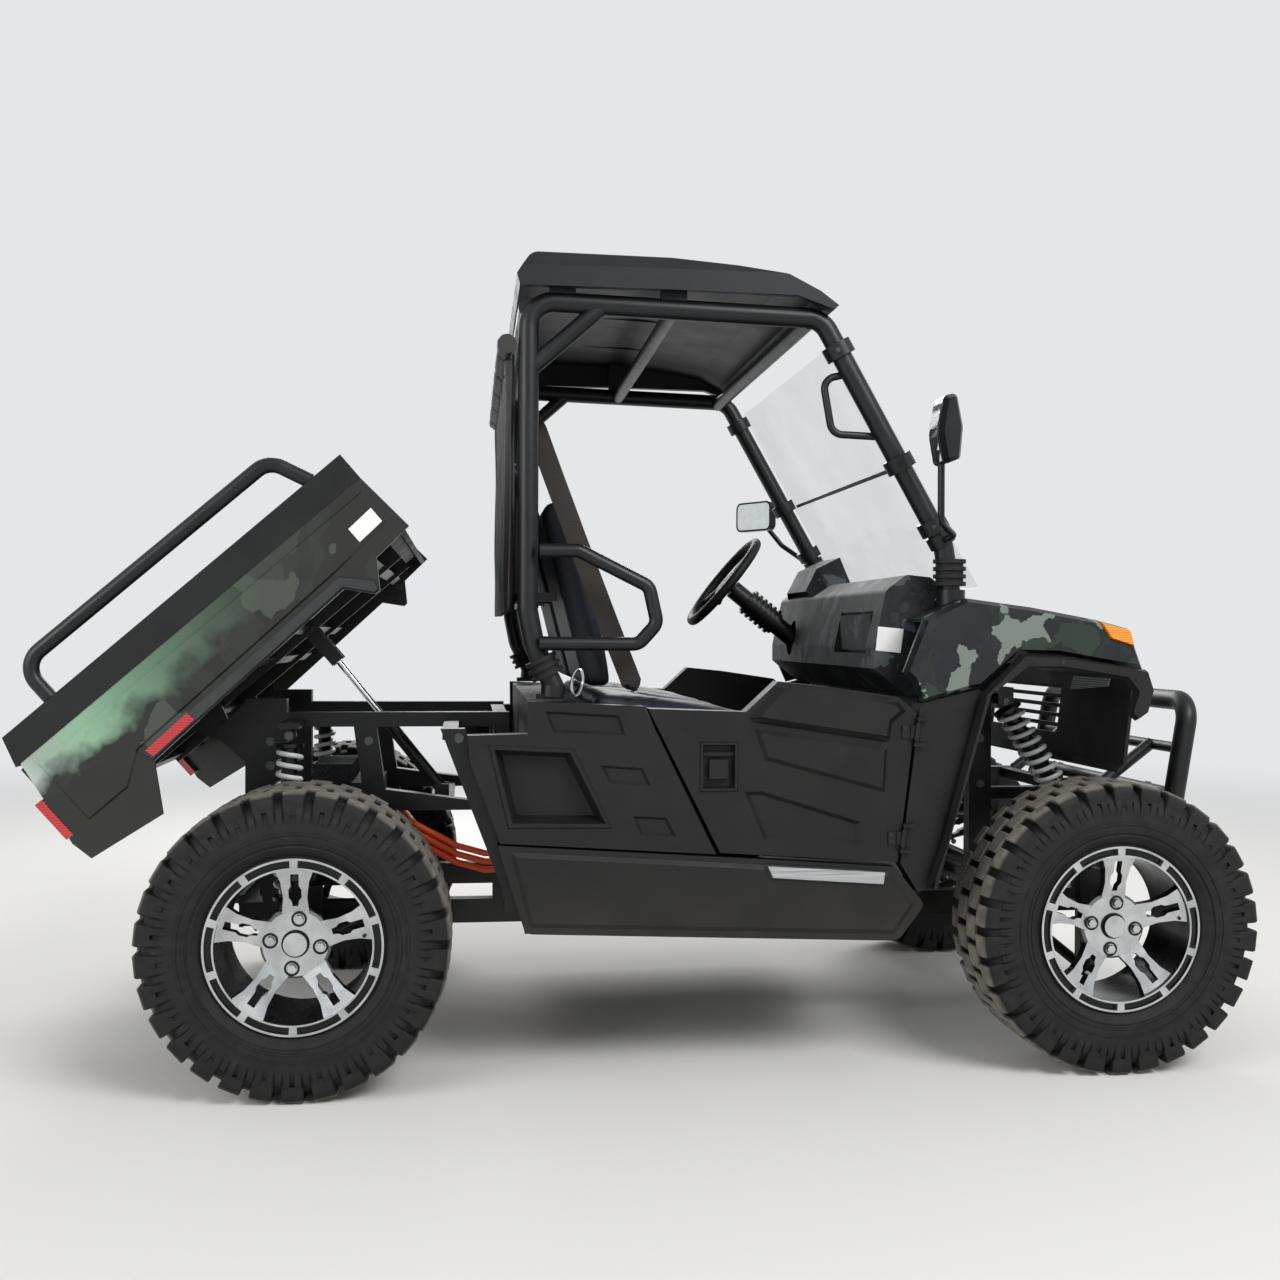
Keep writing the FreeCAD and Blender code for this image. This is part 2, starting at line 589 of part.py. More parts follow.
def seat_base():
    shell = side_plate([(-420, FLOOR_TOP + FLAT_SEAT), (100, FLOOR_TOP + FLAT_SEAT), (120, 790), (-400, 790)],
                       -FLOOR_HALF + 20, FLOOR_HALF - 20)
    hollow = side_plate([(-412, FLOOR_TOP - 5), (92, FLOOR_TOP - 5), (112, 782), (-392, 782)],
                        -FLOOR_HALF + 28, FLOOR_HALF - 28)
    return shell.cut(hollow)


def seat_cushion(side):
    pad = side_plate([(-270, 790.5, 20), (130, 790.5, 20), (122, 846, 30), (-211, 897, 30), (-290, 900, 20)],
                     SEAT_IN, SEAT_OUT)
    return pad if side > 0 else mirrored(pad)


def seat_back(side):
    pad = side_plate([(-300, 900.7, 20), (-215, 900.7, 30), (-300, 1330, 40), (-382, 1368, 30), (-412, 1330, 20)],
                     SEAT_IN + 10, SEAT_OUT - 45)
    return pad if side > 0 else mirrored(pad)


def seat_belt(side):
    web = Part.Face(outline([(-438, 1560), (-432, 1560), (-178, 893.8), (-184, 893.8)], side_plane(SEAT_OUT - 32.3)))
    strap = web.extrude(V(0, 48, 0))
    return strap if side > 0 else mirrored(strap)


def sill_panel(side):
    face = [(-506, 553), (-5, 521), (415, 491), (487, 402, 20), (423, 319, 30), (-430, 352, 20), (-445, 358)]
    swell = [(-480, 540), (-5, 510), (400, 482), (462, 402), (415, 334), (-425, 366), (-436, 372)]
    shape = side_plate(face, DOOR_IN, BODY_HALF)
    shape = fuse([shape, pad(swell, BODY_HALF - 1, BODY_HALF + 7, 12),
                  box(-400, 400, FLOOR_HALF + FLAT_SEAT, DOOR_IN + 1, RAIL_TOP + 1, FLOOR_TOP)])
    return shape if side > 0 else mirrored(shape)


def rear_side_panel(side):
    """Panel behind the door with an open tray and three shallow pockets pressed into it."""
    face = [(-440, 877), (-176, 866), (-8, 527), (-500, 558), (-568, 740), (-575, 801), (-439, 804)]
    shape = side_plate(face, DOOR_IN, BODY_HALF)
    rim_edge = [(-530, 782), (-334, 772), (-246, 588), (-484, 590)]
    tray = [(-515, 770), (-344, 762), (-262, 600), (-473, 603)]
    shape = shape.fuse(pad(rim_edge, BODY_HALF - 1, BODY_HALF + 4, 4))
    pockets = [pad(tray, BODY_HALF + 4.1, DOOR_IN + 16, 14)]
    for points in ([(-401, 856), (-233, 846), (-217, 800), (-382, 808)],
                   [(-274, 733), (-178, 726), (-158, 684), (-255, 692)],
                   [(-201, 617), (-123, 612), (-99, 567), (-181, 572)]):
        pockets.append(pad(points, BODY_HALF + 0.1, BODY_HALF - 7, 6))
    shape = cut(shape, pockets)
    return shape if side > 0 else mirrored(shape)


def step_strip(side):
    shape = pad([(106, 503), (390, 484), (386, 451), (121, 470)], BODY_HALF + 7 + FLAT_SEAT, BODY_HALF + 14, 3)
    return shape if side > 0 else mirrored(shape)


def door(side):
    """Half door: raised crown and band, a pressed pocket below them, and a recessed latch."""
    skin = side_plate([(-166, 861), (60, 853), (135, 923), (255, 911), (420, 887), (464, 852), (421, 503),
                       (2, 530)], DOOR_IN, BODY_HALF)
    crown = pad([(66, 838), (138, 919), (255, 908), (417, 884), (440, 854), (408, 826), (400, 780), (75, 829)],
                BODY_HALF - 1, BODY_HALF + 20, 16)
    band = pad([(78, 816), (396, 770), (390, 664), (104, 742)], BODY_HALF - 1, BODY_HALF + 9, 10)
    latch_rim = pad([(-48, 786), (43, 786), (43, 670), (-48, 670)], BODY_HALF - 1, BODY_HALF + 4, 3)
    shape = fuse([skin, crown, band, latch_rim])
    pocket = pad([(57, 670), (101, 670), (333, 597), (329, 542), (105, 557)], BODY_HALF + 0.1, BODY_HALF - 10, 9)
    cup = pad([(-40, 778), (35, 778), (35, 678), (-40, 678)], BODY_HALF + 4.1, BODY_HALF - 18, 4)
    shape = cut(shape, [pocket, cup])
    paddle = box(-24, 19, BODY_HALF - 20, BODY_HALF - 2, 700, 744)
    bar = box(-37, 32, BODY_HALF - 20, BODY_HALF - 8, 752, 760)
    shape = fuse([shape, paddle, bar])
    for middle, line in hinge_spots():
        knuckle_tube = Part.makeCylinder(HINGE_R, 40, middle - line * 20, line)
        leaf = box(middle.x - 36, middle.x - 4, BODY_HALF - 0.5, BODY_HALF + 3.5, middle.z - 15, middle.z + 15)
        root = box(middle.x - 16, middle.x - 4, BODY_HALF - 0.5, BODY_HALF + 7.5, middle.z - 15, middle.z + 15)
        bore = Part.makeCylinder(HINGE_PIN_R + FIT_GAP, 60, middle - line * 30, line)
        shape = shape.fuse(knuckle_tube.fuse(leaf).fuse(root)).cut(bore)
    return shape if side > 0 else mirrored(shape)


def hinge_spots():
    """Middle and direction of each of a door's two hinges, on the left."""
    low, high = V(*DOOR_HINGE[1]), V(*DOOR_HINGE[0])
    line = high - low
    return [(low + line * share, V(line).normalize()) for share in (0.12, 0.88)]


def hinge_pins():
    """Pins with the tabs that carry them, for the front arch."""
    pieces = []
    for middle, line in hinge_spots():
        pieces.append(Part.makeCylinder(HINGE_PIN_R, 66, middle - line * 33, line))
        for end in (-30, 30):
            spot = middle + line * end
            pieces.append(box(spot.x - 6, spot.x + 20, BODY_HALF + 1.5, BODY_HALF + 15, spot.z - 4, spot.z + 4))
            pieces.append(box(spot.x + 9, spot.x + 20, BODY_HALF - 0.5, BODY_HALF + 2, spot.z - 4, spot.z + 4))
    return pieces


def below_fender_top(extra):
    """What lies under the fender's top line, for seating the front pillar feet on it."""
    line = [(x, z + extra) for x, z in [(479, 1070)] + FENDER_TOP]
    return side_plate(line + [(981, 900), (479, 900)], 500, 800)


def fender(side):
    """Painted fender: bevelled outer face, and the sheet from there to the bonnet."""
    face = [(479, 1070), (580, 1118), (738, 1098), (901, 1069), (981, 1048), (1016, 952), (801, 988), (708, 990),
            (615, 910), (595, 908), (474, 875), (450, 928), (431, 945)]
    outer = side_plate(face, BODY_HALF - 6, BODY_HALF + 4)
    bevel = pad(face, BODY_HALF + 3, BODY_HALF + 20, 9)
    top = side_plate([(560, 1108.5)] + FENDER_TOP + [(1016, 952), (1009, 952), (975, 1041), (901, 1062), (738, 1091),
                                                   (580, 1110), (560, 1100.5)],
                     HOOD_HALF + FLAT_SEAT, BODY_HALF)
    corner = side_plate([(479, 1070), (562, 1108.5), (562, 1100.5), (479, 1062)], CAGE_Y - 40, BODY_HALF)
    shape = fuse([outer, bevel, top, corner])
    shape = shape.cut(side_plate([(899, 1068), (980, 1049), (992, 1004), (928, 1022)], BODY_HALF + 10, BODY_HALF + 30))
    return shape if side > 0 else mirrored(shape)


def front_arch(side):
    """Black panel ahead of the door, wheel arch liner and raised lip."""
    rear = side_plate([(472, 850), (474, 872), (615, 905), (627, 893), (560, 657), (500, 440), (470, 432),
                       (428, 500)], DOOR_IN, BODY_HALF)
    outer = [(481, 440), (522, 556), (615, 898), (708, 987), (801, 985), (1016, 952), (1032, 904), (1017, 849),
             (991, 831), (969, 849), (985, 900), (960, 930), (801, 955), (722, 955), (634, 890), (567, 655),
             (510, 470)]
    lip = pad(outer, BODY_HALF + 20 + FLAT_SEAT, BODY_HALF + 44, 6)
    liner_face = [(510, 440), (567, 655), (634, 890), (722, 955), (801, 955), (960, 930), (968, 935),
                  (801, 962), (720, 962), (627, 893), (560, 657), (500, 440)]
    liner = side_plate(liner_face, 470, BODY_HALF + 21)
    flange = side_plate([(478, 450), (505, 450), (520, 540), (488, 540)], FLOOR_HALF + FLAT_SEAT, DOOR_IN + 1)
    shape = fuse([rear, lip, liner, flange] + hinge_pins())
    return shape if side > 0 else mirrored(shape)


def hood():
    """Bonnet sheet with a raised middle, rolled down at the front."""
    crown = [(590, 1130), (738, 1112), (901, 1083), (985, 1058), (1012, 1000), (1005, 1000), (980, 1051), (900, 1076),
             (738, 1105), (590, 1123)]
    sheet = side_plate(crown, -HOOD_HALF, HOOD_HALF)
    low = [(600, 1126), (738, 1109), (901, 1080), (960, 1062), (958, 1054), (600, 1115)]
    high = [(600, 1146), (738, 1130), (890, 1102), (930, 1082), (958, 1054), (600, 1115)]
    stations = ((-230, low), (-185, high), (185, high), (230, low))
    bulge = Part.makeLoft([outline(points, side_plane(y)) for y, points in stations], True, True)
    return sheet.fuse(bulge)


def front_fascia():
    """Front panel with a slatted grille and the lamps' openings."""
    plate = side_plate([(1004, 999.7), (1012, 999.7), (1030, 900), (1010, 720), (990, 700), (985, 705), (1002, 722),
                        (1021, 900)], -640, 640)
    openings = both_sides([head_lamp_face(1000, 1060, FLAT_SEAT), box(1000, 1020, HOOD_HALF, 650, 949, 1000)])
    openings += [box(980, 1060, -240, 240, 770 + 26 * i, 786 + 26 * i) for i in range(5)]
    return cut(plate, openings)


def head_lamp_face(x0, x1, extra):
    """The lamp's slanted outline, extruded between two x."""
    return front_plate([(300 - extra, 888 - extra), (520 + extra, 905 - extra), (560 + extra, 948 + extra),
                        (330 - extra, 930 + extra)], x0, x1)


def head_lamps():
    return Part.makeCompound(both_sides([head_lamp_face(1016, 1038, 0)]))


def corner_lamps():
    lens = pad([(901, 1066), (978, 1047), (990, 1006), (930, 1024)], BODY_HALF + 10 + FLAT_SEAT, BODY_HALF + 26, 3)
    return Part.makeCompound(both_sides([lens]))


def dash_panel():
    """Dashboard: glossy cowl, instrument hood over the column, two vents and a glove box."""
    face = [(400, 1000), (430, 1140, 20), (480, 1178, 20), (540, 1172), (586, 1138), (586, 1122), (552, 1120),
            (552, 885.3), (480, 885.3), (400, 950)]
    shell = side_plate(face, -CAGE_Y + 45, CAGE_Y - 45)
    low = [(440, 1130), (470, 1174), (545, 1172), (570, 1140)]
    high = [(420, 1160), (455, 1228), (525, 1262), (566, 1150)]
    stations = ((150, low), (210, high), (450, high), (510, low))
    binnacle = Part.makeLoft([outline(points, side_plane(y)) for y, points in stations], True, True)
    shape = shell.fuse(binnacle)
    vents = [box(490, 502, y - 60, y + 60, 1150, 1200) for y in (-440, -280)]
    vents += [box(512, 524, y - 60, y + 60, 1150, 1200) for y in (-440, -280)]
    glove = front_plate([(-500, 985), (-200, 985), (-200, 1090), (-500, 1090)], 380, 425)
    lid = front_plate([(-492, 993), (-208, 993), (-208, 1082), (-492, 1082)], 414, 440)
    shape = cut(shape, vents + [glove]).fuse(lid)
    return cut(shape, [rod(wheel_point(176), wheel_point(330), 46), steering_shaft(16)])


# Cage

def side_hoop(radius):
    """Rear pillar, roof rail and front pillar in one bent tube, on the left."""
    return pipe([(-375, CAGE_Y, 905), (-421, CAGE_Y, 1000), (-438, CAGE_Y, 1085), (-438, CAGE_Y, 1800),
                 (PILLAR_TOP[0], CAGE_Y, PILLAR_TOP[2]), (PILLAR_LOW[0], CAGE_Y, PILLAR_LOW[2]),
                 (575, CAGE_Y, 1130)], radius, 60)


def rops_cage():
    side_y = CAGE_Y
    cross = [rod((-438, -side_y, 1785), (-438, side_y, 1785), TUBE_R), rod((225, -side_y, 1775), (225, side_y, 1775), 20),
             rod((-100, -side_y, 1788), (-100, side_y, 1788), 18), rod((-438, -side_y, 1120), (-438, side_y, 1120), 20)]
    brace = both_sides([rod((-438, side_y, 1640), (-270, side_y, 1790), 20)])
    feet = both_sides([box(-420, -330, side_y - 45, side_y + 18, 880, 892),
                       rod((-378, side_y, 885), (-376, side_y, 912), 30)])
    front_foot = rod((575, side_y, 1095), (575, side_y, 1140), 34).cut(below_fender_top(FLAT_SEAT))
    feet += both_sides([front_foot])
    seat_stays = [box(-430, -360.3, y - 15, y + 15, 1110, 1130) for y in (-450, -130, 130, 450)]
    return fuse(both_sides([side_hoop(TUBE_R)]) + cross + brace + feet + seat_stays)


def pillar_boots():
    """Ribbed rubber boots round the feet of the front and rear pillars."""
    foot, knee = V(-375, CAGE_Y, 905), V(-421, CAGE_Y, 1000)
    line = (knee - foot).normalize()
    boots = []
    for start, along, count in ((V(572, CAGE_Y, 1150), AXIS_Z, 7), (foot + line * 32, line, 5)):
        rings = [Part.makeCylinder(39 - 6 * (i % 2), 9, start + along * 9 * i, along) for i in range(count)]
        boots.append(fuse(rings).cut(side_hoop(TUBE_R + FLAT_SEAT)))
    return Part.makeCompound(both_sides(boots))


def hip_bar():
    loop = pipe([(-412, HIP_Y, 1221), (-322, HIP_Y, 1222), (-159, HIP_Y, 1141), (-140, HIP_Y, 1056),
                 (-183, HIP_Y, 1008), (-412, HIP_Y, 1008)], 16, 30)
    return loop.cut(side_hoop(TUBE_R + FLAT_SEAT))


def grab_bars():
    """Hip bars on both sides and the hand grip on the right front pillar."""
    grip = pipe([(330, CAGE_Y - 14, 1655), (262, CAGE_Y - 14, 1640), (285, CAGE_Y - 14, 1510),
                 (416, CAGE_Y - 14, 1505)], 9, 30)
    grip = mirrored(grip.cut(side_hoop(TUBE_R + FLAT_SEAT)))
    return Part.makeCompound(both_sides([hip_bar()]) + [grip])


def roof_panel():
    """Moulded roof with bevelled long edges and three raised ribs, hollow below."""
    top = [(-467, 1852), (-432, 1908, 30), (-107, 1904), (46, 1890), (166, 1872), (241, 1835), (285, 1803),
           (275, 1793), (187, 1823), (-40, 1826), (-460, 1826)]
    shell = side_plate(top, -ROOF_HALF, ROOF_HALF)
    bevels = both_sides([front_plate([(ROOF_HALF - 26, 1915), (ROOF_HALF + 1, 1915), (ROOF_HALF + 1, 1872)], -500, 300)])
    shell = cut(shell, bevels)
    hollow = [(-455, 1800), (-455, 1852), (-426, 1896), (-107, 1892), (46, 1878), (162, 1860), (234, 1826),
              (262, 1800)]
    shell = shell.cut(side_plate(hollow, -ROOF_HALF + 24, ROOF_HALF - 24))
    ribs = [side_plate([(-380, 1900), (-360, 1913), (-110, 1910), (40, 1896), (60, 1880)], y - 45, y + 45)
            for y in (-380, 0, 380)]
    pads = both_sides([box(x - 30, x + 30, CAGE_Y - 15, CAGE_Y + 15, 1800, 1899).cut(side_hoop(TUBE_R + FLAT_SEAT))
                       for x in (-360, -100)])
    return fuse([shell] + ribs + pads)


def glass_pane(start, end, extra=0.0):
    """Pane in front of the front pillars, between two distances down them."""
    along = V(*PILLAR_LOW) - V(*PILLAR_TOP)
    along.normalize()
    out = V(-along.z, 0, along.x)
    corners = []
    for distance, lift in ((start - extra, 0), (end + extra, 0), (end + extra, 1), (start - extra, 1)):
        spot = V(*PILLAR_TOP) + along * distance + out * (GLASS_SET - extra + lift * (GLASS_T + 2 * extra))
        corners.append((spot.x, spot.z))
    return side_plate(corners, -GLASS_HALF, GLASS_HALF)


def windshield():
    return Part.makeCompound([glass_pane(*UPPER_PANE), glass_pane(*LOWER_PANE)])


def windshield_clamps():
    along = V(*PILLAR_LOW) - V(*PILLAR_TOP)
    along.normalize()
    clamps = []
    for distance in (85, 390, 560):
        spot = V(*PILLAR_TOP) + along * distance + AXIS_Y * CAGE_Y
        ring = Part.makeCylinder(TUBE_R + 12, 34, spot - along * 17, along)
        ring = cut(ring, [side_hoop(TUBE_R + FLAT_SEAT), glass_pane(*UPPER_PANE, FLAT_SEAT),
                          glass_pane(*LOWER_PANE, FLAT_SEAT)])
        clamps.append(max(ring.Solids, key=lambda part: part.Volume))
    return Part.makeCompound(both_sides(clamps))


def rear_curtain():
    sheet = box(-474, CURTAIN_X, -CURTAIN_HALF, CURTAIN_HALF, 1080, 1745)
    roll = rod((CURTAIN_X - 20, -CURTAIN_HALF, 1690), (CURTAIN_X - 20, CURTAIN_HALF, 1690), 20)
    return fuse([sheet, roll])


def mirror_assembly(side):
    """Clamp on the front pillar, bent arm and moulded shell; the left one is turned to the driver."""
    slope = V(0.494, 0, -0.87)
    ring = Part.makeCylinder(TUBE_R + 8, 30, V(549, CAGE_Y, 1260.3) - slope * 15, slope)
    ring = ring.cut(side_hoop(TUBE_R + FLAT_SEAT)).cut(glass_pane(*LOWER_PANE, FLAT_SEAT))
    ring = max(ring.Solids, key=lambda part: part.Volume)
    if side > 0:
        arm = pipe([(549, CAGE_Y + 27, 1258), (552, CAGE_Y + 85, 1265), (470, CAGE_Y + 133, 1330),
                    (392, CAGE_Y + 141, 1425)], 8, 20)
        face = [(-84, -49, 22), (84, -49, 22), (84, 49, 22), (-84, 49, 22)]
        shell = front_plate(face, -14, 8)
        small = [(a * 0.7, b * 0.7, 15) for a, b, r in face]
        back = Part.makeLoft([outline(face, front_plane(7)), outline(small, front_plane(26))], True, True)
        shell = shell.fuse(back)
        shell.rotate(V(0, 0, 0), AXIS_Z, 32)
        return fuse([ring, arm, shell.translated(V(385, CAGE_Y + 144, 1426))])
    arm = pipe([(549, CAGE_Y + 27, 1258), (552, CAGE_Y + 85, 1265), (497, CAGE_Y + 155, 1290),
                (495, CAGE_Y + 160, 1430)], 8, 20)
    face = [(485, 1414, 12), (524, 1430, 12), (530, 1500, 20), (515, 1578, 12), (485, 1570, 12), (473, 1490, 30)]
    shell = side_plate(face, CAGE_Y + 137, CAGE_Y + 203)
    shell = fuse([shell, pad(face, CAGE_Y + 202, CAGE_Y + 220, 9), pad(face, CAGE_Y + 138, CAGE_Y + 120, 9)])
    return mirrored(fuse([ring, arm, shell]))


# Cargo bed, drawn lowered and then tipped about the hinge line

def tipped(shape):
    return shape.rotated(V(BED_PIVOT[0], 0, BED_PIVOT[1]), AXIS_Y, -BED_TILT)


BED_SIDE = [(-1466, 988), (-512, 992), (-500, 842), (-600, 835), (-642, 775), (-655, 775), (-700, 828),
            (-1253, 808), (-1315, 708), (-1490, 735), (-1499, 785)]


def bed_tub():
    """Floor, front wall and inner side walls, open to the rear."""
    floor = box(-1480, -525, -BED_HALF + 30, BED_HALF - 30, BED_FLOOR, BED_FLOOR + 6)
    front = box(-525, -512, -BED_HALF + 8.5, BED_HALF - 8.5, 840, 990)
    walls = both_sides([box(-1466, -520, BED_HALF - 36, BED_HALF - 30, BED_FLOOR, 988)])
    ribs = [box(-1470, -530, y - 8, y + 8, BED_FLOOR + 5, BED_FLOOR + 12) for y in range(-500, 501, 125)]
    x, z = TAILGATE_HINGE
    ears = both_sides([box(x, x + 16, 501, 509, z - 5.5, z + 5.5), rod((x, 501, z), (x, 509, z), 5.5),
                       rod((x, 470, z), (x, 509, z), 4)])
    return fuse([floor, front] + walls + ribs + ears)


def bed_underframe():
    beams = both_sides([box(-1415, -560, FRAME_IN - 20, FRAME_IN - 8, BED_FLOOR - 40, BED_FLOOR - FLAT_SEAT)])
    crosses = [box(x - 15, x + 15, -560, 560, BED_FLOOR - 30, BED_FLOOR - FLAT_SEAT) for x in (-1400, -1190, -975, -855, -620)]
    lug = side_plate([(-1230, 845), (-1132, 845), (BED_PIVOT[0] + 22, 781, 14), (BED_PIVOT[0] + 14, 759, 10),
                      (BED_PIVOT[0] - 14, 759, 10), (BED_PIVOT[0] - 22, 781, 14)], 274, 286)
    lug = lug.cut(rod((BED_PIVOT[0], 200, BED_PIVOT[1]), (BED_PIVOT[0], 400, BED_PIVOT[1]), PIN_R + FIT_GAP))
    ears = [box(STRUT_HEAD_LOW[0] - 18, STRUT_HEAD_LOW[0] + 18, STRUT_Y + y, STRUT_Y + y + 8, STRUT_HEAD_LOW[1] - 12,
                BED_FLOOR - FLAT_SEAT) for y in (-STRUT_EAR_OUT, STRUT_EAR_IN)]
    return fuse(beams + crosses + both_sides([lug]) + ears)


def bed_sides():
    """Outer side sheets with a long pressed panel."""
    skin = side_plate(BED_SIDE, BED_HALF - 8, BED_HALF)
    panel = pad([(-1440, 965), (-530, 969), (-526, 880), (-612, 872), (-690, 866), (-1262, 848), (-1330, 800), (-1440, 800)],
                BED_HALF - 1, BED_HALF + 4, 5)
    return Part.makeCompound(both_sides([skin.fuse(panel).cut(tail_lamp(FLAT_SEAT)).cut(bed_arch_trim(FLAT_SEAT))]))


def bed_rim_cap():
    """Box section round the top of both sides and the front."""
    side = side_plate([(-1478, 988.3), (-512, 992.3), (-512, 1059), (-1458, 1055)], BED_HALF - 40, BED_HALF + 2)
    front = box(-545, -512, -BED_HALF + 39, BED_HALF - 39, 992.3, 1059)
    return fuse(both_sides([side]) + [front])


def bed_rails():
    tube = pipe([(-1330, RAIL_TUBE_Y, 1057), (-1330, RAIL_TUBE_Y, 1150), (-640, RAIL_TUBE_Y, 1150),
                 (-600, RAIL_TUBE_Y, 1058)], 17, 50)
    below = side_plate([(-1500, 980), (-500, 980), (-500, 1059 + FLAT_SEAT), (-1458, 1055 + FLAT_SEAT)], BED_HALF - 106, BED_HALF + 94)
    return Part.makeCompound(both_sides([tube.cut(below)]))


def bed_arch_trim(extra=0.0):
    """Band over the wheel arch, down its front slope."""
    face = [(-1253, 809), (-700, 829), (-655, 776), (-642, 776), (-634, 800), (-690, 858), (-1262, 838)]
    if extra:
        return side_plate(face, BED_HALF, BED_HALF + 20)
    return pad(face, BED_HALF + FLAT_SEAT, BED_HALF + 12, 4)


def bed_arch_trims():
    return Part.makeCompound(both_sides([bed_arch_trim()]))


def tail_lamp(extra=0.0):
    return box(-1502 - extra, -1484 + extra, BED_HALF - 50, BED_HALF + 3, 800 - extra, 900 + extra)


def tail_lamps():
    return Part.makeCompound(both_sides([tail_lamp()]))


def tailgate():
    """Pressed gate with ribs and a handle cup, on a hinge barrel."""
    half = BED_HALF - 62
    face = box(-1492, -1481, -half, half, BED_FLOOR + 14, 985)
    frame = [front_plate([(a, BED_FLOOR + 26), (b, BED_FLOOR + 26), (b, 972), (a, 972)], -1498, -1491)
             for a, b in ((-half + 20, -half + 260), (-half + 300, -150), (150, half - 300), (half - 260, half - 20))]
    handle = box(-1503, -1491, -90, 90, 945, 963)
    x, z = TAILGATE_HINGE
    barrel = rod((x, -500, z), (x, 500, z), 9)
    return fuse([face, barrel, handle] + frame).cut(rod((x, -501, z), (x, 501, z), 4 + FIT_GAP))


def strut_cylinder():
    foot, head = V(STRUT_FOOT[0], STRUT_Y, STRUT_FOOT[1]), strut_head()
    line = (head - foot).normalize()
    tube = Part.makeCylinder(16, 223, foot + line * 3, line)
    eye = rod((foot.x, STRUT_Y - 19.5, foot.z), (foot.x, STRUT_Y + 19.5, foot.z), 15)
    bore = Part.makeCylinder(8 + FIT_GAP, 300, foot + line * 19, line)
    return fuse([tube, eye]).cut(bore)


def strut_head():
    spot = Part.Vertex(STRUT_HEAD_LOW[0], STRUT_Y, STRUT_HEAD_LOW[1])
    return tipped(spot).Point


def strut_rod():
    foot, head = V(STRUT_FOOT[0], STRUT_Y, STRUT_FOOT[1]), strut_head()
    line = (foot - head).normalize()
    rod_body = Part.makeCylinder(8, 225, head + line * 4, line)
    eye = rod((head.x, STRUT_Y - 19.5, head.z), (head.x, STRUT_Y + 19.5, head.z), 14)
    return fuse([rod_body, eye])


FIXED = {
    "chassis_frame": chassis_frame, "front_frame": front_frame, "rear_frame": rear_frame,
    "hitch_receiver": hitch_receiver, "side_posts": side_posts, "front_bumper": front_bumper, "suspension_arms": suspension_arms,
    "coil_shocks": coil_shocks, "motor_block": motor_block, "battery_block": battery_block,
    "hv_cables": hv_cables, "tie_rods": tie_rods, "steering_gear": steering_gear,
    "steering_wheel": steering_wheel, "cab_floor": cab_floor, "seat_base": seat_base, "hood": hood,
    "front_fascia": front_fascia, "head_lamps": head_lamps, "corner_lamps": corner_lamps,
    "dash_panel": dash_panel, "rops_cage": rops_cage, "pillar_boots": pillar_boots,
    "grab_bars": grab_bars, "roof_panel": roof_panel, "windshield": windshield,
    "windshield_clamps": windshield_clamps, "rear_curtain": rear_curtain,
    "strut_cylinder": strut_cylinder, "strut_rod": strut_rod,
}
PAIRED = {
    "seat_cushions": seat_cushion, "seat_backs": seat_back, "seat_belts": seat_belt,
    "sill_panels": sill_panel, "rear_side_panels": rear_side_panel, "step_strips": step_strip,
    "front_arches": front_arch, "fenders": fender, "mirrors": mirror_assembly,
}
SIDED = {"knuckle": knuckle, "door": door}
BED = {
    "bed_tub": bed_tub, "bed_underframe": bed_underframe, "bed_rim_cap": bed_rim_cap,
    "bed_sides": bed_sides, "bed_rails": bed_rails, "bed_arch_trims": bed_arch_trims,
    "tail_lamps": tail_lamps, "tailgate": tailgate,
}


def assembly():
    """Every piece by name, in its place."""
    pieces = {name: make() for name, make in FIXED.items()}
    for name, make in PAIRED.items():
        pieces[name] = Part.makeCompound([make(1), make(-1)])
    for name, make in BED.items():
        pieces[name] = tipped(make())
    for word, side in (("left", 1), ("right", -1)):
        for name, make in SIDED.items():
            pieces[name + "_" + word] = make(side)
        pieces["rim_front_" + word] = rim(AXLE_X, side, RIM_WIDTHS[FRONT_TYRE_W])
        pieces["tyre_front_" + word] = tyre(AXLE_X, side, FRONT_TYRE_W)
        pieces["rim_rear_" + word] = rim(-AXLE_X, side, RIM_WIDTHS[REAR_TYRE_W])
        pieces["tyre_rear_" + word] = tyre(-AXLE_X, side, REAR_TYRE_W)
    return {name: shape.translated(V(SHIFT_X, 0, 0)) for name, shape in pieces.items()}


def main():
    os.makedirs("parts", exist_ok=True)
    for name, shape in assembly().items():
        shape.exportStep("parts/" + name + ".step")


if __name__ == "__main__":
    main()
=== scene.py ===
import math
import bmesh
import bpy
from mathutils import Matrix, Vector, noise
from mathutils.bvhtree import BVHTree


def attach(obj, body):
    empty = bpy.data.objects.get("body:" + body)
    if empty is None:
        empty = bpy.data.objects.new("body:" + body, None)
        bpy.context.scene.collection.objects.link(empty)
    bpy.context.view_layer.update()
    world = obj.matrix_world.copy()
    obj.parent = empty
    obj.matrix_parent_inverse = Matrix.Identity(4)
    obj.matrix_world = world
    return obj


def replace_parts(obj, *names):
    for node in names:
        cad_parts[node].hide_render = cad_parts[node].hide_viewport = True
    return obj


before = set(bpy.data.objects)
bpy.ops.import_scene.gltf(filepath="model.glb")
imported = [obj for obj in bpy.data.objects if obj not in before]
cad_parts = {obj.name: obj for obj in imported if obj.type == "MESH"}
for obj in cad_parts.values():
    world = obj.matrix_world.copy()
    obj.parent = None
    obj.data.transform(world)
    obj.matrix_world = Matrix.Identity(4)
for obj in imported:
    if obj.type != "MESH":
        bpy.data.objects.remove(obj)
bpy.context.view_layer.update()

# Camera: at the right side, a little behind the middle, at the height of the seat backs.
# Its place, turn and lens give the photograph's viewing angle.
CAMERA_AT = Vector((-0.44111, -3.86085, 1.03098))
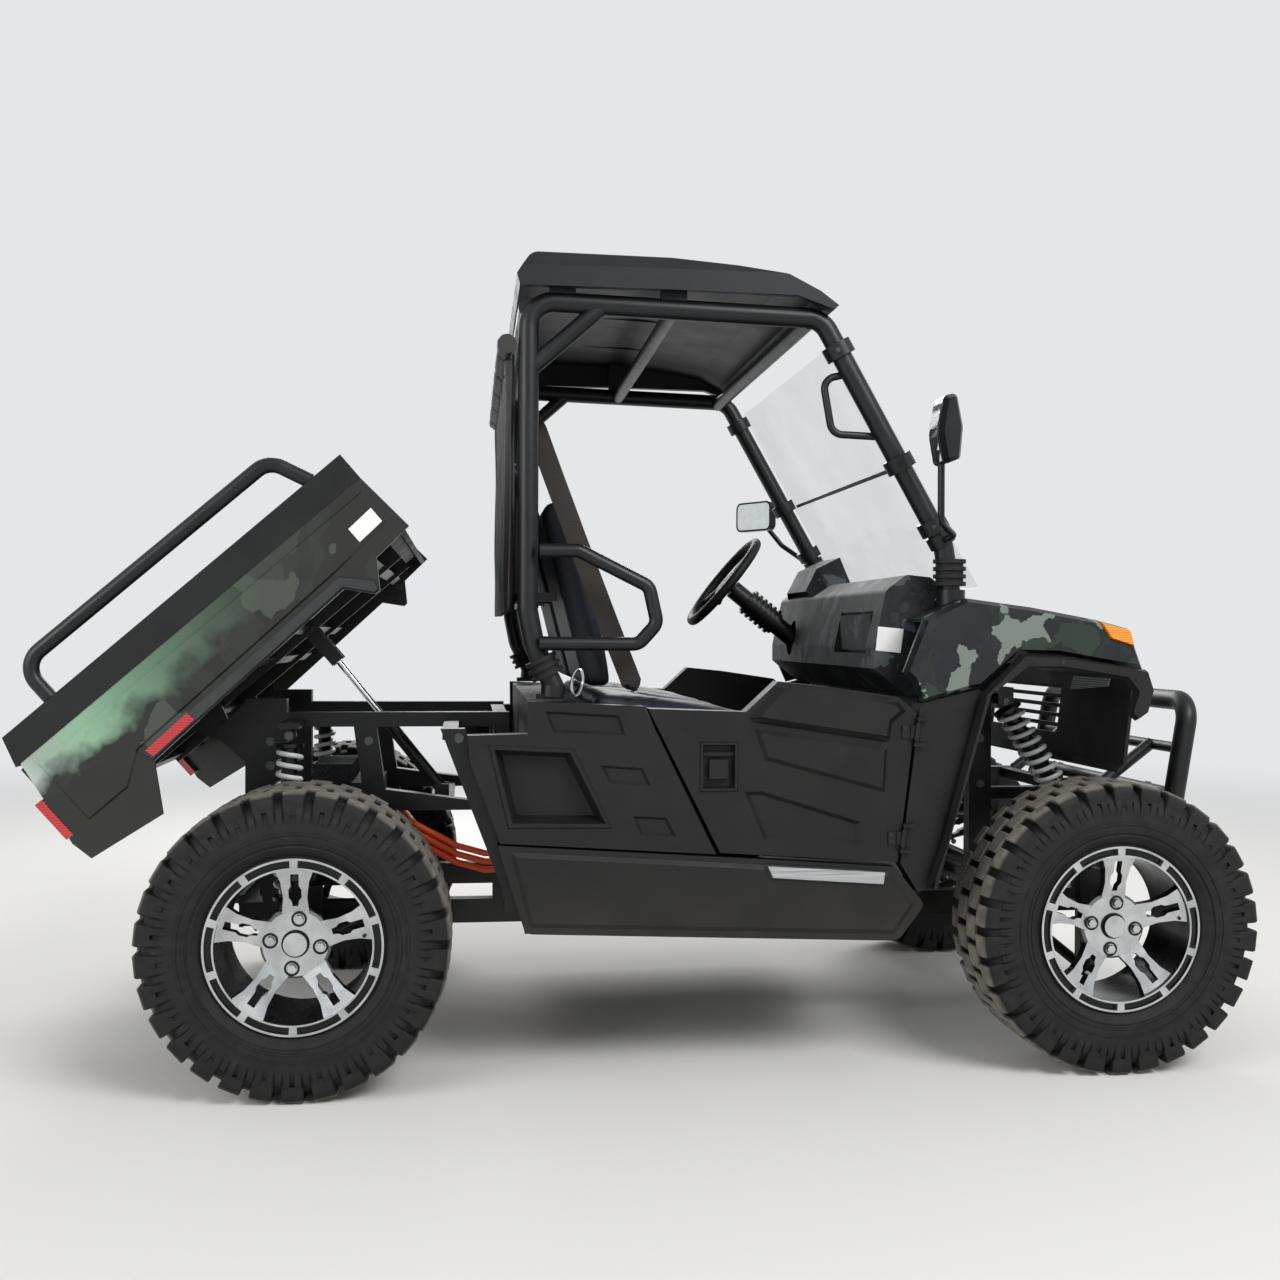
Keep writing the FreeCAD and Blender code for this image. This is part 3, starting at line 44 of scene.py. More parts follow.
CAMERA_YAW, CAMERA_PITCH, CAMERA_ROLL = 0.12219, -0.00427, 0.00457
CAMERA_LENS = 39.375

ahead = Vector((math.sin(CAMERA_YAW) * math.cos(CAMERA_PITCH),
                math.cos(CAMERA_YAW) * math.cos(CAMERA_PITCH), math.sin(CAMERA_PITCH)))
level = Vector((math.cos(CAMERA_YAW), -math.sin(CAMERA_YAW), 0))
upright = level.cross(ahead)
image_right = level * math.cos(CAMERA_ROLL) + upright * math.sin(CAMERA_ROLL)
image_up = upright * math.cos(CAMERA_ROLL) - level * math.sin(CAMERA_ROLL)
camera = bpy.data.objects.new("camera", bpy.data.cameras.new("camera"))
camera.data.lens = CAMERA_LENS
camera.data.sensor_width = 36
camera_turn = Matrix((image_right, image_up, -ahead)).transposed().to_4x4()
camera.matrix_world = Matrix.Translation(CAMERA_AT) @ camera_turn
bpy.context.scene.collection.objects.link(camera)
bpy.context.scene.camera = camera


# Chassis, arms, bumper and knuckles: welded steel tube and plate.
# Satin black powder coat over everything, with a little road dust on the lower parts.
def colour(hexcode):
    """sRGB hex to the linear values that shaders take."""
    parts = [int(hexcode[i:i + 2], 16) / 255 for i in (0, 2, 4)]
    return tuple(c / 12.92 if c <= 0.04045 else ((c + 0.055) / 1.055) ** 2.4 for c in parts) + (1.0,)


def node(owner, kind, links=(), stops=(), span=(), **settings):
    """Adds a node to a material, or to a tree, where its kind is written in full.
    Settings name its attributes or, with underscores for spaces, its input sockets.
    Stops are a colour ramp's places and hex colours. Span is a range and the range that it becomes."""
    tree = getattr(owner, "node_tree", owner)
    made = tree.nodes.new(kind if tree is owner else "ShaderNode" + kind)
    settings.update(zip(("From_Min", "From_Max", "To_Min", "To_Max"), span))
    for key, value in settings.items():
        if hasattr(made, key):
            setattr(made, key, value)
        else:
            socket = int(key[1:]) if key[1:].isdigit() else key.replace("_", " ")
            made.inputs[socket].default_value = value
    for i, (place, hexcode) in enumerate(stops):
        if i > 1:
            made.color_ramp.elements.new(1.0)
        made.color_ramp.elements[i].position = place
        made.color_ramp.elements[i].color = colour(hexcode)
    for socket, source in dict(links).items():
        source = source.outputs[0] if hasattr(source, "outputs") else source
        tree.links.new(source, made.inputs[socket])
    return made


def new_material(name):
    """An empty material, and the coordinates of the piece it is on."""
    made = bpy.data.materials.new(name)
    made.use_nodes = True
    made.node_tree.nodes.clear()
    return made, node(made, "TexCoord").outputs["Object"]


def surfaced(material, links, **settings):
    """Ends a material in its surface."""
    node(material, "OutputMaterial", {"Surface": node(material, "BsdfPrincipled", links, **settings)})
    return material


def dusted(material, place, clean):
    """A colour with a film of road dust below half a metre, in clouds."""
    height = node(material, "SeparateXYZ", {0: place}).outputs["Z"]
    low = node(material, "MapRange", {0: height}, span=(0.28, 0.5, 0.12, 0.0))
    cloud = node(material, "TexNoise", {"Vector": place}, Scale=7.0, Detail=6.0, Roughness=0.65)
    film = node(material, "MapRange", {0: cloud}, span=(0.35, 0.65, 0.3, 1.0))
    share = node(material, "Math", {0: low, 1: film}, operation="MULTIPLY")
    return node(material, "Mix", {"Factor": share, 6: clean}, data_type="RGBA",
                _7=colour("6b6357")).outputs[2]


def powder_coat(name, hexes, rough=(0.32, 0.45), dusty=False):
    """Steel under a black polyester powder coat: satin, with a faint orange-peel skin."""
    made, place = new_material(name)
    cloud = node(made, "TexNoise", {"Vector": place}, Scale=14.0, Detail=6.0, Roughness=0.65)
    shade = node(made, "ValToRGB", {0: cloud}, ((0.35, hexes[0]), (0.72, hexes[1])))
    gloss = node(made, "MapRange", {0: cloud}, span=(0.3, 0.75, *rough))
    peel = node(made, "TexNoise", {"Vector": place}, Scale=420.0, Detail=2.0)
    relief = node(made, "Bump", {"Height": peel}, Strength=0.1, Distance=0.0005)
    shade = dusted(made, place, shade) if dusty else shade
    return surfaced(made, {"Base Color": shade, "Roughness": gloss, "Normal": relief}, IOR=1.5,
                    Specular_IOR_Level=0.35)


def dress(material, *names):
    """Gives CAD nodes a material."""
    for name in names:
        for material_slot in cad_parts[name].material_slots:
            material_slot.material = material


dress(powder_coat("chassis_powder_coat", ("08090a", "121314"), dusty=True), "chassis_frame", "front_frame",
      "rear_frame", "side_posts", "hitch_receiver", "suspension_arms", "knuckle_left", "knuckle_right",
      "tie_rods", "steering_gear", "bed_underframe", "strut_cylinder", "battery_block")
dress(powder_coat("bumper_powder_coat", ("0b0c0d", "151618"), (0.4, 0.5)), "front_bumper")

# Roll cage, grab bars and bed rails: bent steel tube, 18 mm in the hand grip, 48 mm in the cage's hoops.
# Smooth satin black coat, a shade lighter than the chassis where dust has dulled it.
dress(powder_coat("tube_powder_coat", ("0c0d0f", "15171a"), (0.34, 0.46)), "rops_cage", "grab_bars",
      "bed_rails", "windshield_clamps")


# Bolts through the suspension pivots, the frame's gussets, the posts and the hitch plate.
# Zinc-plated hex heads on washers, blackened and worn to dark grey.
def zinc_steel(name, hexes, rough):
    """Zinc-plated or chromed steel, slightly clouded."""
    made, place = new_material(name)
    cloud = node(made, "TexNoise", {"Vector": place}, Scale=60.0, Detail=4.0)
    shade = node(made, "ValToRGB", {0: cloud}, ((0.3, hexes[0]), (0.7, hexes[1])))
    gloss = node(made, "MapRange", {0: cloud}, span=(0.3, 0.7, *rough))
    return surfaced(made, {"Base Color": shade, "Roughness": gloss}, Metallic=1.0)


MIDDLE_X = 0.133


def place_at(x, y, z):
    """Construction drawings measure X in millimetres from halfway between the axles."""
    return Vector((x / 1000 + MIDDLE_X, y / 1000, z / 1000))


def linked(name, data):
    """A new object in the scene."""
    made = bpy.data.objects.new(name, data)
    bpy.context.scene.collection.objects.link(made)
    return made


def add_piece(name, mesh, body, material):
    """A new piece, riding on its body."""
    made = linked(name, mesh)
    mesh.materials.clear()
    mesh.materials.append(material)
    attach(made, body)
    return made


def fastener_tree(name, metal):
    """Nodes that put a hex head on a washer at each point, square to the point's facing."""
    tree = bpy.data.node_groups.new(name, "GeometryNodeTree")
    tree.interface.new_socket("Points", in_out="INPUT", socket_type="NodeSocketGeometry")
    for label, size in (("Head Radius", 0.007), ("Head Height", 0.005)):
        tree.interface.new_socket(label, in_out="INPUT", socket_type="NodeSocketFloat").default_value = size
    tree.interface.new_socket("Heads", in_out="OUTPUT", socket_type="NodeSocketGeometry")
    given = node(tree, "NodeGroupInput")
    radius, height = given.outputs[1], given.outputs[2]
    head = node(tree, "GeometryNodeMeshCylinder", {"Radius": radius, "Depth": height}, Vertices=6)
    wide = node(tree, "ShaderNodeMath", {0: radius}, operation="MULTIPLY", _1=1.35)
    thin = node(tree, "ShaderNodeMath", {0: height}, operation="MULTIPLY", _1=0.35)
    washer = node(tree, "GeometryNodeMeshCylinder", {"Radius": wide, "Depth": thin}, Vertices=24)
    both = node(tree, "GeometryNodeJoinGeometry", {0: head})
    tree.links.new(washer.outputs["Mesh"], both.inputs[0])
    facing = node(tree, "GeometryNodeInputNamedAttribute", data_type="FLOAT_VECTOR", Name="facing")
    turn = node(tree, "FunctionNodeAlignRotationToVector", {"Vector": facing}, axis="Z")
    spread = node(tree, "GeometryNodeInstanceOnPoints", {"Points": given, "Instance": both, "Rotation": turn})
    real = node(tree, "GeometryNodeRealizeInstances", {0: spread})
    dressed = node(tree, "GeometryNodeSetMaterial", {"Geometry": real}, Material=metal)
    node(tree, "NodeGroupOutput", {0: dressed})
    return tree


def fasteners(name, spots, body, metal, radius, height):
    """Hex bolts with washers. Each spot is a place and the way its head faces."""
    points = bpy.data.meshes.new(name + "_points")
    points.from_pydata([tuple(place) for place, facing in spots], [], [])
    facings = points.attributes.new("facing", "FLOAT_VECTOR", "POINT")
    for i, (place, facing) in enumerate(spots):
        facings.data[i].vector = facing
    holder = linked(name + "_points", points)
    tree = fastener_tree(name + "_nodes", metal)
    sizes = {item.name: item.identifier for item in tree.interface.items_tree if item.in_out == "INPUT"}
    maker = holder.modifiers.new("heads", "NODES")
    maker.node_group = tree
    maker[sizes["Head Radius"]] = radius
    maker[sizes["Head Height"]] = height
    mesh = bpy.data.meshes.new_from_object(holder.evaluated_get(bpy.context.evaluated_depsgraph_get()))
    mesh.name = name
    bpy.data.objects.remove(holder)
    return add_piece(name, mesh, body, metal)


spots = []
for side in (-1, 1):
    outward = (0, side, 0)
    for x, y, z in ((780, 450.5, 866), (1000, 456.5, 514), (-998, 441, 784), (-1004, 445.5, 366)):
        spots.append((place_at(x, side * y, z), outward))
    for x, z in ((1065, 400), (1065, 560), (770, 640), (770, 760), (-1060, 700), (-1060, 760), (-820, 760),
                 (-490, 500), (-490, 700)):
        spots.append((place_at(x, side * 301.5, z), outward))
    spots += [(place_at(x, side * 645.5, z), outward) for x, z in ((-594, 792), (-462, 452))]
    spots += [(place_at(-1136.5, side * y, z), (-1, 0, 0)) for y in (230, 275) for z in (325, 358)]
blackened_zinc = zinc_steel("bolt_zinc_plate", ("46484a", "66696b"), (0.38, 0.5))
fasteners("chassis_bolts", spots, "chassis", blackened_zinc, 0.008, 0.006)


# Coil-over shock absorbers: light grey painted springs round black damper bodies.
# The turns are close together, ground flat on two seats, with an eye at each end.
def moulded_plastic(name, hexes, grain=900.0, rough=(0.45, 0.6), bump=0.12, dusty=False):
    """Injection moulded polypropylene with a fine leather grain, and slow changes of shade."""
    made, place = new_material(name)
    cloud = node(made, "TexNoise", {"Vector": place}, Scale=9.0, Detail=5.0, Roughness=0.6)
    shade = node(made, "ValToRGB", {0: cloud}, ((0.3, hexes[0]), (0.7, hexes[1])))
    gloss = node(made, "MapRange", {0: cloud}, span=(0.3, 0.7, *rough))
    pits = node(made, "TexVoronoi", {"Vector": place}, Scale=grain)
    relief = node(made, "Bump", {"Height": pits}, Strength=bump, Distance=0.0004)
    shade = dusted(made, place, shade) if dusty else shade
    return surfaced(made, {"Base Color": shade, "Roughness": gloss, "Normal": relief}, IOR=1.49,
                    Specular_IOR_Level=0.3)


def mesh_from(name, vertices, faces, crease=35.0):
    """A mesh with its faces outward, smooth except over the crease angle."""
    mesh = bpy.data.meshes.new(name)
    mesh.from_pydata([tuple(v) for v in vertices], [], faces)
    work = bmesh.new()
    work.from_mesh(mesh)
    bmesh.ops.recalc_face_normals(work, faces=work.faces)
    work.to_mesh(mesh)
    work.free()
    mesh.polygons.foreach_set("use_smooth", [True] * len(mesh.polygons))
    mesh.set_sharp_from_angle(angle=math.radians(crease))
    return mesh


def joined(*parts):
    """Several (vertices, faces) lists as one."""
    vertices, faces = [], []
    for more_vertices, more_faces in parts:
        first = len(vertices)
        vertices += more_vertices
        faces += [tuple(first + i for i in face) for face in more_faces]
    return vertices, faces


def flipped(part):
    """The same on the other side of the vehicle."""
    vertices, faces = part
    return [Vector((v[0], -v[1], v[2])) for v in vertices], [tuple(reversed(face)) for face in faces]


def ring_faces(rows, sides):
    """The quads between rings of vertices that follow each other."""
    return [(i * sides + k, i * sides + (k + 1) % sides, (i + 1) * sides + (k + 1) % sides,
             (i + 1) * sides + k) for i in range(rows - 1) for k in range(sides)]


def end_faces(rows, sides):
    """The two faces that close a stack of rings."""
    return [tuple(range(sides)), tuple(range((rows - 1) * sides, rows * sides))]


def tube(points, radius, sides=10, closed=False):
    """A round bar along a line of points."""
    points = [Vector(p) for p in points]
    count = len(points)
    vertices, side = [], None
    for i, here in enumerate(points):
        before = points[i - 1] if closed or i else here
        after = points[(i + 1) % count] if closed or i < count - 1 else here
        along = (after - before).normalized()
        side = along.orthogonal() if side is None else side - along * side.dot(along)
        side.normalize()
        across = along.cross(side)
        for k in range(sides):
            turn = 2 * math.pi * k / sides
            vertices.append(here + (side * math.cos(turn) + across * math.sin(turn)) * radius)
    if closed:
        loop = [tuple(i % len(vertices) for i in face) for face in ring_faces(count + 1, sides)]
        return vertices, loop
    return vertices, ring_faces(count, sides) + end_faces(count, sides)


def turned(profile, centre, axis, sides=32, hollow=False):
    """A line of (radius, along) turned about an axis. A hollow one joins its end to its start."""
    axis = Vector(axis).normalized()
    side = axis.orthogonal().normalized()
    across = axis.cross(side)
    turns = [2 * math.pi * k / sides for k in range(sides)]
    rays = [side * math.cos(turn) + across * math.sin(turn) for turn in turns]
    vertices = [centre + axis * along + ray * radius for radius, along in profile for ray in rays]
    rows = len(profile)
    last = (rows - 1) * sides
    if hollow:
        seam = [(k, (k + 1) % sides, last + (k + 1) % sides, last + k) for k in range(sides)]
        return vertices, ring_faces(rows, sides) + seam
    return vertices, ring_faces(rows, sides) + end_faces(rows, sides)


def shaped(name, part, body, material, crease=35.0):
    """A new piece from vertices and faces."""
    return add_piece(name, mesh_from(name, *part, crease=crease), body, material)


# Each shock: place of its upper eye, of its lower eye, radius of its spring, radius of its eyes
SHOCKS = (((780.0, 426.0, 866.0), (1000.0, 440.0, 514.0), 37.0, 16.0),
          ((-998.0, 415.0, 784.0), (-1004.0, 427.0, 366.0), 33.0, 15.0))
WIRE_RADIUS = 0.006
TURN_PITCH = 0.0255
springs, dampers = [], []
for head, foot, outer, eye in SHOCKS:
    head, foot = place_at(*head), place_at(*foot)
    line = (foot - head).normalized()
    top, bottom = head + line * eye / 1000, foot - line * eye / 1000
    length = (bottom - top).length
    side = line.orthogonal().normalized()
    across = line.cross(side)
    coil = (outer - 6.2) / 1000
    start, end = 0.021, length - 0.024
    turns = round((end - start) / TURN_PITCH)
    path = []
    for i in range(turns * 20 + 1):
        share = i / (turns * 20)
        turn = 2 * math.pi * turns * share
        swing = (side * math.cos(turn) + across * math.sin(turn)) * coil
        path.append(top + line * (start + (end - start) * share) + swing)
    springs.append(tube(path, WIRE_RADIUS))
    flange = outer / 1000
    seats = [(0, 0.002), (flange, 0.006), (flange, 0.0145), (0.019, 0.017), (0.019, length * 0.58),
             (0.0165, length * 0.6), (0.0095, length * 0.605), (0.0095, length - 0.019),
             (flange, length - 0.017), (flange, length - 0.008), (0, length - 0.003)]
    dampers.append(turned(seats, top, line, 28))
    rim = eye / 1000
    for spot in (head, foot):
        dampers.append(turned([(0, -0.015), (rim - 0.001, -0.015), (rim, -0.013), (rim, 0.013),
                               (rim - 0.001, 0.015), (0, 0.015)], spot, (0, 1, 0), 28))
spring_enamel = moulded_plastic("spring_grey_enamel", ("c3c6c7", "dcdedf"), rough=(0.28, 0.42), bump=0.03)
damper_paint = powder_coat("damper_black_paint", ("0c0d0e", "17181a"), (0.25, 0.38))
for name, parts, material in (("shock_springs", springs, spring_enamel),
                              ("shock_dampers", dampers, damper_paint)):
    parts += [flipped(part) for part in parts]
    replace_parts(shaped(name, joined(*parts), "chassis", material), "coil_shocks")
dress(zinc_steel("strut_chrome", ("b5b8bb", "d8dadc"), (0.1, 0.18)), "strut_rod")

# Electric drive motor: a cast aluminium body, finned, dulled by dust.
# Sand cast, so its skin is grainy and matt.
cast, cast_place = new_material("motor_cast_aluminium")
sand = node(cast, "TexNoise", {"Vector": cast_place}, Scale=260.0, Detail=5.0)
cast_shade = node(cast, "ValToRGB", {0: sand}, ((0.3, "2a2b2d"), (0.7, "46484a")))
cast_relief = node(cast, "Bump", {"Height": sand}, Strength=0.4, Distance=0.0008)
dress(surfaced(cast, {"Base Color": cast_shade, "Normal": cast_relief}, Metallic=1.0, Roughness=0.55),
      "motor_block")

# Three high voltage leads: orange cross-linked sheath, extruded smooth.
# A thin film of dust lies on them in clouds.
sheath, sheath_place = new_material("orange_cable_sheath")
sheath_dust = node(sheath, "TexNoise", {"Vector": sheath_place}, Scale=45.0, Detail=5.0)
sheath_shade = node(sheath, "ValToRGB", {0: sheath_dust}, ((0.35, "f4501a"), (0.75, "dc5a28")))
dress(surfaced(sheath, {"Base Color": sheath_shade}, Roughness=0.42), "hv_cables")

# Wheels: cast aluminium with a machined face and clear lacquer, five double spokes.
# The sides of the spokes, the barrel and the windows in the lip are black, where the cutter didn't reach.
# Lathe lines are drawn 2.4 mm apart, because real ones are too fine to show.
AXLE_HEIGHT = 0.343
WHEEL_X = {"front": MIDDLE_X + 0.950, "rear": MIDDLE_X - 0.950}
TYRE_RADIUS = 0.343
RIM_FACE = 0.742
RIM_WINDOWS = 10
LIP_INNER, LIP_OUTER = 0.1742, 0.1902
TYRE_WIDTH = {"front": 0.230, "rear": 0.280}
RIM_WIDTH = {"front": 0.190, "rear": 0.230}


def wheel_place(material, place, end):
    """Coordinates from the wheel's centre, and the distance from its axis."""
    centred = node(material, "Mapping", {"Vector": place}, Location=(-WHEEL_X[end], 0.0, -AXLE_HEIGHT))
    flat = node(material, "VectorMath", {0: centred}, operation="MULTIPLY", _1=(1.0, 0.0, 1.0))
    return centred, node(material, "VectorMath", {0: flat}, operation="LENGTH").outputs["Value"]


def machined_aluminium(end):
    """Turned face with fine concentric lathe lines, and black enamel behind it and in the lip's windows."""
    made, place = new_material("machined_aluminium_" + end)
    centred, radius = wheel_place(made, place, end)
    lines = node(made, "Math", {0: radius}, operation="MULTIPLY", _1=2600.0)
    lathe = node(made, "Math", {0: lines}, operation="SINE")
    cloud = node(made, "TexNoise", {"Vector": place}, Scale=18.0, Detail=4.0)
    facing = node(made, "SeparateXYZ", {0: node(made, "TexCoord").outputs["Normal"]}).outputs["Y"]
    facing = node(made, "Math", {0: facing}, operation="ABSOLUTE")
    depth = node(made, "Math", {0: node(made, "SeparateXYZ", {0: place}).outputs["Y"]}, operation="ABSOLUTE")
    axes = node(made, "SeparateXYZ", {0: centred}).outputs
    turn = node(made, "Math", {0: axes["X"], 1: axes["Z"]}, operation="ARCTAN2")
    windows = node(made, "Math", {0: turn}, operation="MULTIPLY", _1=RIM_WINDOWS / (2 * math.pi))
    bar = node(made, "Math", {0: windows}, operation="PINGPONG", _1=0.5)
    outer = node(made, "Math", {0: radius}, operation="GREATER_THAN", _1=0.1745)
    sunk = node(made, "Math", {0: depth}, operation="LESS_THAN", _1=RIM_FACE - 0.002)
    between = node(made, "Math", {0: bar}, operation="GREATER_THAN", _1=0.075)
    inside = node(made, "Math", {0: radius}, operation="GREATER_THAN", _1=LIP_INNER)
    outside = node(made, "Math", {0: radius}, operation="LESS_THAN", _1=LIP_OUTER)
    lip = node(made, "Math", {0: between, 1: inside}, operation="MULTIPLY")
    lip = node(made, "Math", {0: lip, 1: outside}, operation="MULTIPLY")
    pockets = node(made, "Math", {0: outer, 1: sunk}, operation="MULTIPLY")
    black = node(made, "Math", {0: pockets, 1: lip}, operation="MAXIMUM")
    bare = node(made, "Math", {1: black}, operation="SUBTRACT", _0=1.0)
    flat = node(made, "MapRange", {0: facing}, span=(0.62, 0.8, 0.0, 1.0))
    cut_face = node(made, "Math", {0: flat, 1: bare}, operation="MULTIPLY")
    bright = node(made, "ValToRGB", {0: cloud}, ((0.3, "a8abad"), (0.7, "cdcfd0")))
    mixed = node(made, "Mix", {"Factor": cut_face, 7: bright}, data_type="RGBA", _6=colour("0b0c0d"))
    gloss = node(made, "MapRange", {0: cloud}, span=(0.3, 0.7, 0.22, 0.32))
    relief = node(made, "Bump", {"Height": lathe}, Strength=0.06, Distance=0.0002)
    lacquer = node(made, "MapRange", {0: cut_face}, span=(0.0, 1.0, 0.06, 0.4))
    return surfaced(made, {"Base Color": mixed.outputs[2], "Metallic": cut_face, "Roughness": gloss,
                           "Normal": relief, "Coat Weight": lacquer}, Specular_IOR_Level=0.25,
                    Coat_Roughness=0.08)


for end in ("front", "rear"):
    dress(machined_aluminium(end), "rim_" + end + "_left", "rim_" + end + "_right")


# Tyres: cross-ply off-road rubber, with square blocks in four staggered rows.
# The outer rows wrap over the shoulders, and flutes run on from them down the side walls.
# Pale dust lies on the tread.
def tyre_rubber(end):
    """Carbon-black rubber, dusty where it meets the ground."""
    made, place = new_material("tyre_rubber_" + end)
    centred, radius = wheel_place(made, place, end)
    dust = node(made, "TexNoise", {"Vector": place}, Scale=30.0, Detail=6.0, Roughness=0.7)
    tread = node(made, "MapRange", {0: radius}, span=(TYRE_RADIUS - 0.010, TYRE_RADIUS - 0.002, 0.0, 0.8))
    film = node(made, "MapRange", {0: dust}, span=(0.3, 0.62, 0.4, 1.0))
    wall = node(made, "MapRange", {0: dust}, span=(0.45, 0.8, 0.0, 0.03))
    tread = node(made, "Math", {0: tread, 1: film}, operation="MULTIPLY")
    amount = node(made, "Math", {0: tread, 1: wall}, operation="MAXIMUM")
    clean = node(made, "ValToRGB", {0: dust}, ((0.3, "0b0b0b"), (0.75, "151515")))
    mixed = node(made, "Mix", {"Factor": amount, 6: clean}, data_type="RGBA", _7=colour("88837a"))
    grain = node(made, "TexNoise", {"Vector": place}, Scale=500.0, Detail=3.0)
    relief = node(made, "Bump", {"Height": grain}, Strength=0.2, Distance=0.0006)
    return surfaced(made, {"Base Color": mixed.outputs[2], "Normal": relief}, Roughness=0.72,
                    Specular_IOR_Level=0.35)


def tread_block(line, half_turn, middle, axle_x, depth=0.02, chamfer=0.0025):
    """A block that follows a line of (y, radius, normal y, normal radius), with worn edges."""
    vertices = []
    stations = [(line[0], chamfer)] + [(station, 0.0) for station in line] + [(line[-1], chamfer)]
    for (y, radius, out_y, out_r), sunk in stations:
        edge = chamfer / radius
        for low, turn in ((depth, -half_turn), (max(chamfer, sunk), -half_turn), (sunk, -half_turn + edge),
                          (sunk, half_turn - edge), (max(chamfer, sunk), half_turn), (depth, half_turn)):
            r = radius - out_r * low
            a = middle + turn
            vertices.append(Vector((axle_x + r * math.sin(a), y - out_y * low,
                                    AXLE_HEIGHT + r * math.cos(a))))
    return vertices, ring_faces(len(stations), 6) + end_faces(len(stations), 6)


TREAD_BLOCKS = 30


def tyre_parts(end):
    """A right-hand tyre: carcass with ribbed walls, four rows of blocks, and flutes below the outer rows."""
    axle_x, width = WHEEL_X[end], TYRE_WIDTH[end]
    crown = RIM_FACE + 0.013
    middle, half = crown - width / 2, width / 2
    bead = {1: RIM_FACE - 0.0083 - middle, -1: middle - (RIM_FACE - RIM_WIDTH[end] + 0.0083)}
    wall = {}
    for side in (1, -1):
        below_crown = ((0.008, 0.215), (0.005, 0.2195), (0.0052, 0.223), (0.0068, 0.2235), (0.0052, 0.229),
                       (0.0018, 0.2295), (0.0012, 0.2335), (0.003, 0.234), (0.002, 0.247), (0, 0.2475),
                       (0, 0.2515), (0.0016, 0.252), (0.001, 0.264), (0.003, 0.284), (0.008, 0.300),
                       (0.016, 0.3135), (0.028, 0.3225), (0.045, 0.3265))
        wall[side] = [(bead[side], 0.1823), (bead[side], 0.199), (bead[side] + 0.004, 0.2035)]
        wall[side] += [(half - inset, radius) for inset, radius in below_crown]
    profile = [(r, y - middle) for y, r in wall[-1]] + [(r, -middle - y) for y, r in reversed(wall[1])]
    carcass = turned(profile, Vector((axle_x, 0, AXLE_HEIGHT)), (0, 1, 0), 104, hollow=True)
    top = TYRE_RADIUS
    shoulder = [(half * 0.56, top - 0.0003, 0, 1), (half - 0.022, top - 0.001, 0.05, 1),
                (half - 0.0135, top - 0.003, 0.3, 0.95), (half - 0.007, top - 0.008, 0.71, 0.71),
                (half - 0.0032, top - 0.0155, 0.95, 0.3), (half - 0.002, top - 0.025, 1, 0.05)]
    centre_row = [(half * 0.045, top, 0, 1), (half * 0.49, top, 0, 1)]
    blocks = []
    pitch = 2 * math.pi / TREAD_BLOCKS
    for side in (1, -1):
        shift = 0.0 if side > 0 else 0.5
        for i in range(TREAD_BLOCKS):
            foot = 0.291 if i % 2 else 0.303
            run = shoulder + [(half - 0.002, (top - 0.025 + foot) / 2, 1, 0), (half - 0.0022, foot, 1, 0)]
            lines = [(run, 0.0, 0.35, 0.02, 0.0025), (centre_row, 0.5, 0.39, 0.02, 0.0025)]
            for turn, high, low in ((-0.2, 0.312, 0.266), (0.2, 0.312, 0.266), (0.5, 0.299, 0.270)):
                flute = [(half - 0.0045, high, 1, 0), (half - 0.0008, high - 0.01, 1, 0),
                         (half + 0.0004, 0.285, 1, 0), (half - 0.0014, low, 1, 0)]
                lines.append((flute, turn, 0.12, 0.012, 0.0015))
            for line, turn, share, depth, chamfer in lines:
                placed = [(-(middle + side * y), r, -side * out_y, out_r) for y, r, out_y, out_r in line]
                blocks.append(tread_block(placed, pitch * share, pitch * (i + shift + turn) + math.pi, axle_x,
                                          depth, chamfer))
    return joined(carcass, *blocks)


def both_wheels(prefix, end, part, material):
    """A right-hand part on both wheels of an axle."""
    pieces = {}
    for side, copy in (("right", part), ("left", flipped(part))):
        name = end + "_" + side
        pieces[name] = shaped(prefix + name, copy, "wheel_" + name, material)
    return pieces


for end in ("front", "rear"):
    for name, piece in both_wheels("tyre_tread_", end, tyre_parts(end), tyre_rubber(end)).items():
        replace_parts(piece, "tyre_" + name)

# Black enamelled seats round the wheel nuts and the hub cap, and a black valve in each barrel.
# The rings lie flat on the hub's face.
HUB_FACE = RIM_FACE - 0.042
NUT_CIRCLE = 0.055
seat_enamel = moulded_plastic("nut_seat_enamel", ("090a0a", "121313"))
for end in ("front", "rear"):
    parts = []
    spots = [(0.0, 0.0, 0.0262)]
    for i in range(4):
        turn = math.radians(90 * i + 8)
        spots.append((NUT_CIRCLE * math.sin(turn), NUT_CIRCLE * math.cos(turn), 0.0125))
    for x, z, inside in spots:
        ring = [(inside, -0.0005), (inside, 0.0022), (inside + 0.004, 0.0022), (inside + 0.0047, 0.0012),
                (inside + 0.0047, -0.0005)]
        parts.append(turned(ring, Vector((WHEEL_X[end] + x, -HUB_FACE, AXLE_HEIGHT + z)), (0, -1, 0), 28,
                            hollow=True))
    valve = Vector((WHEEL_X[end] + 0.158, -(RIM_FACE - 0.034), AXLE_HEIGHT + 0.02))
    parts.append(turned([(0, -0.012), (0.0062, -0.012), (0.0055, 0.004), (0.004, 0.008), (0.004, 0.022),
                         (0, 0.023)], valve, (-0.35, -1, 0), 14))
    both_wheels("nut_seats_", end, joined(*parts), seat_enamel)

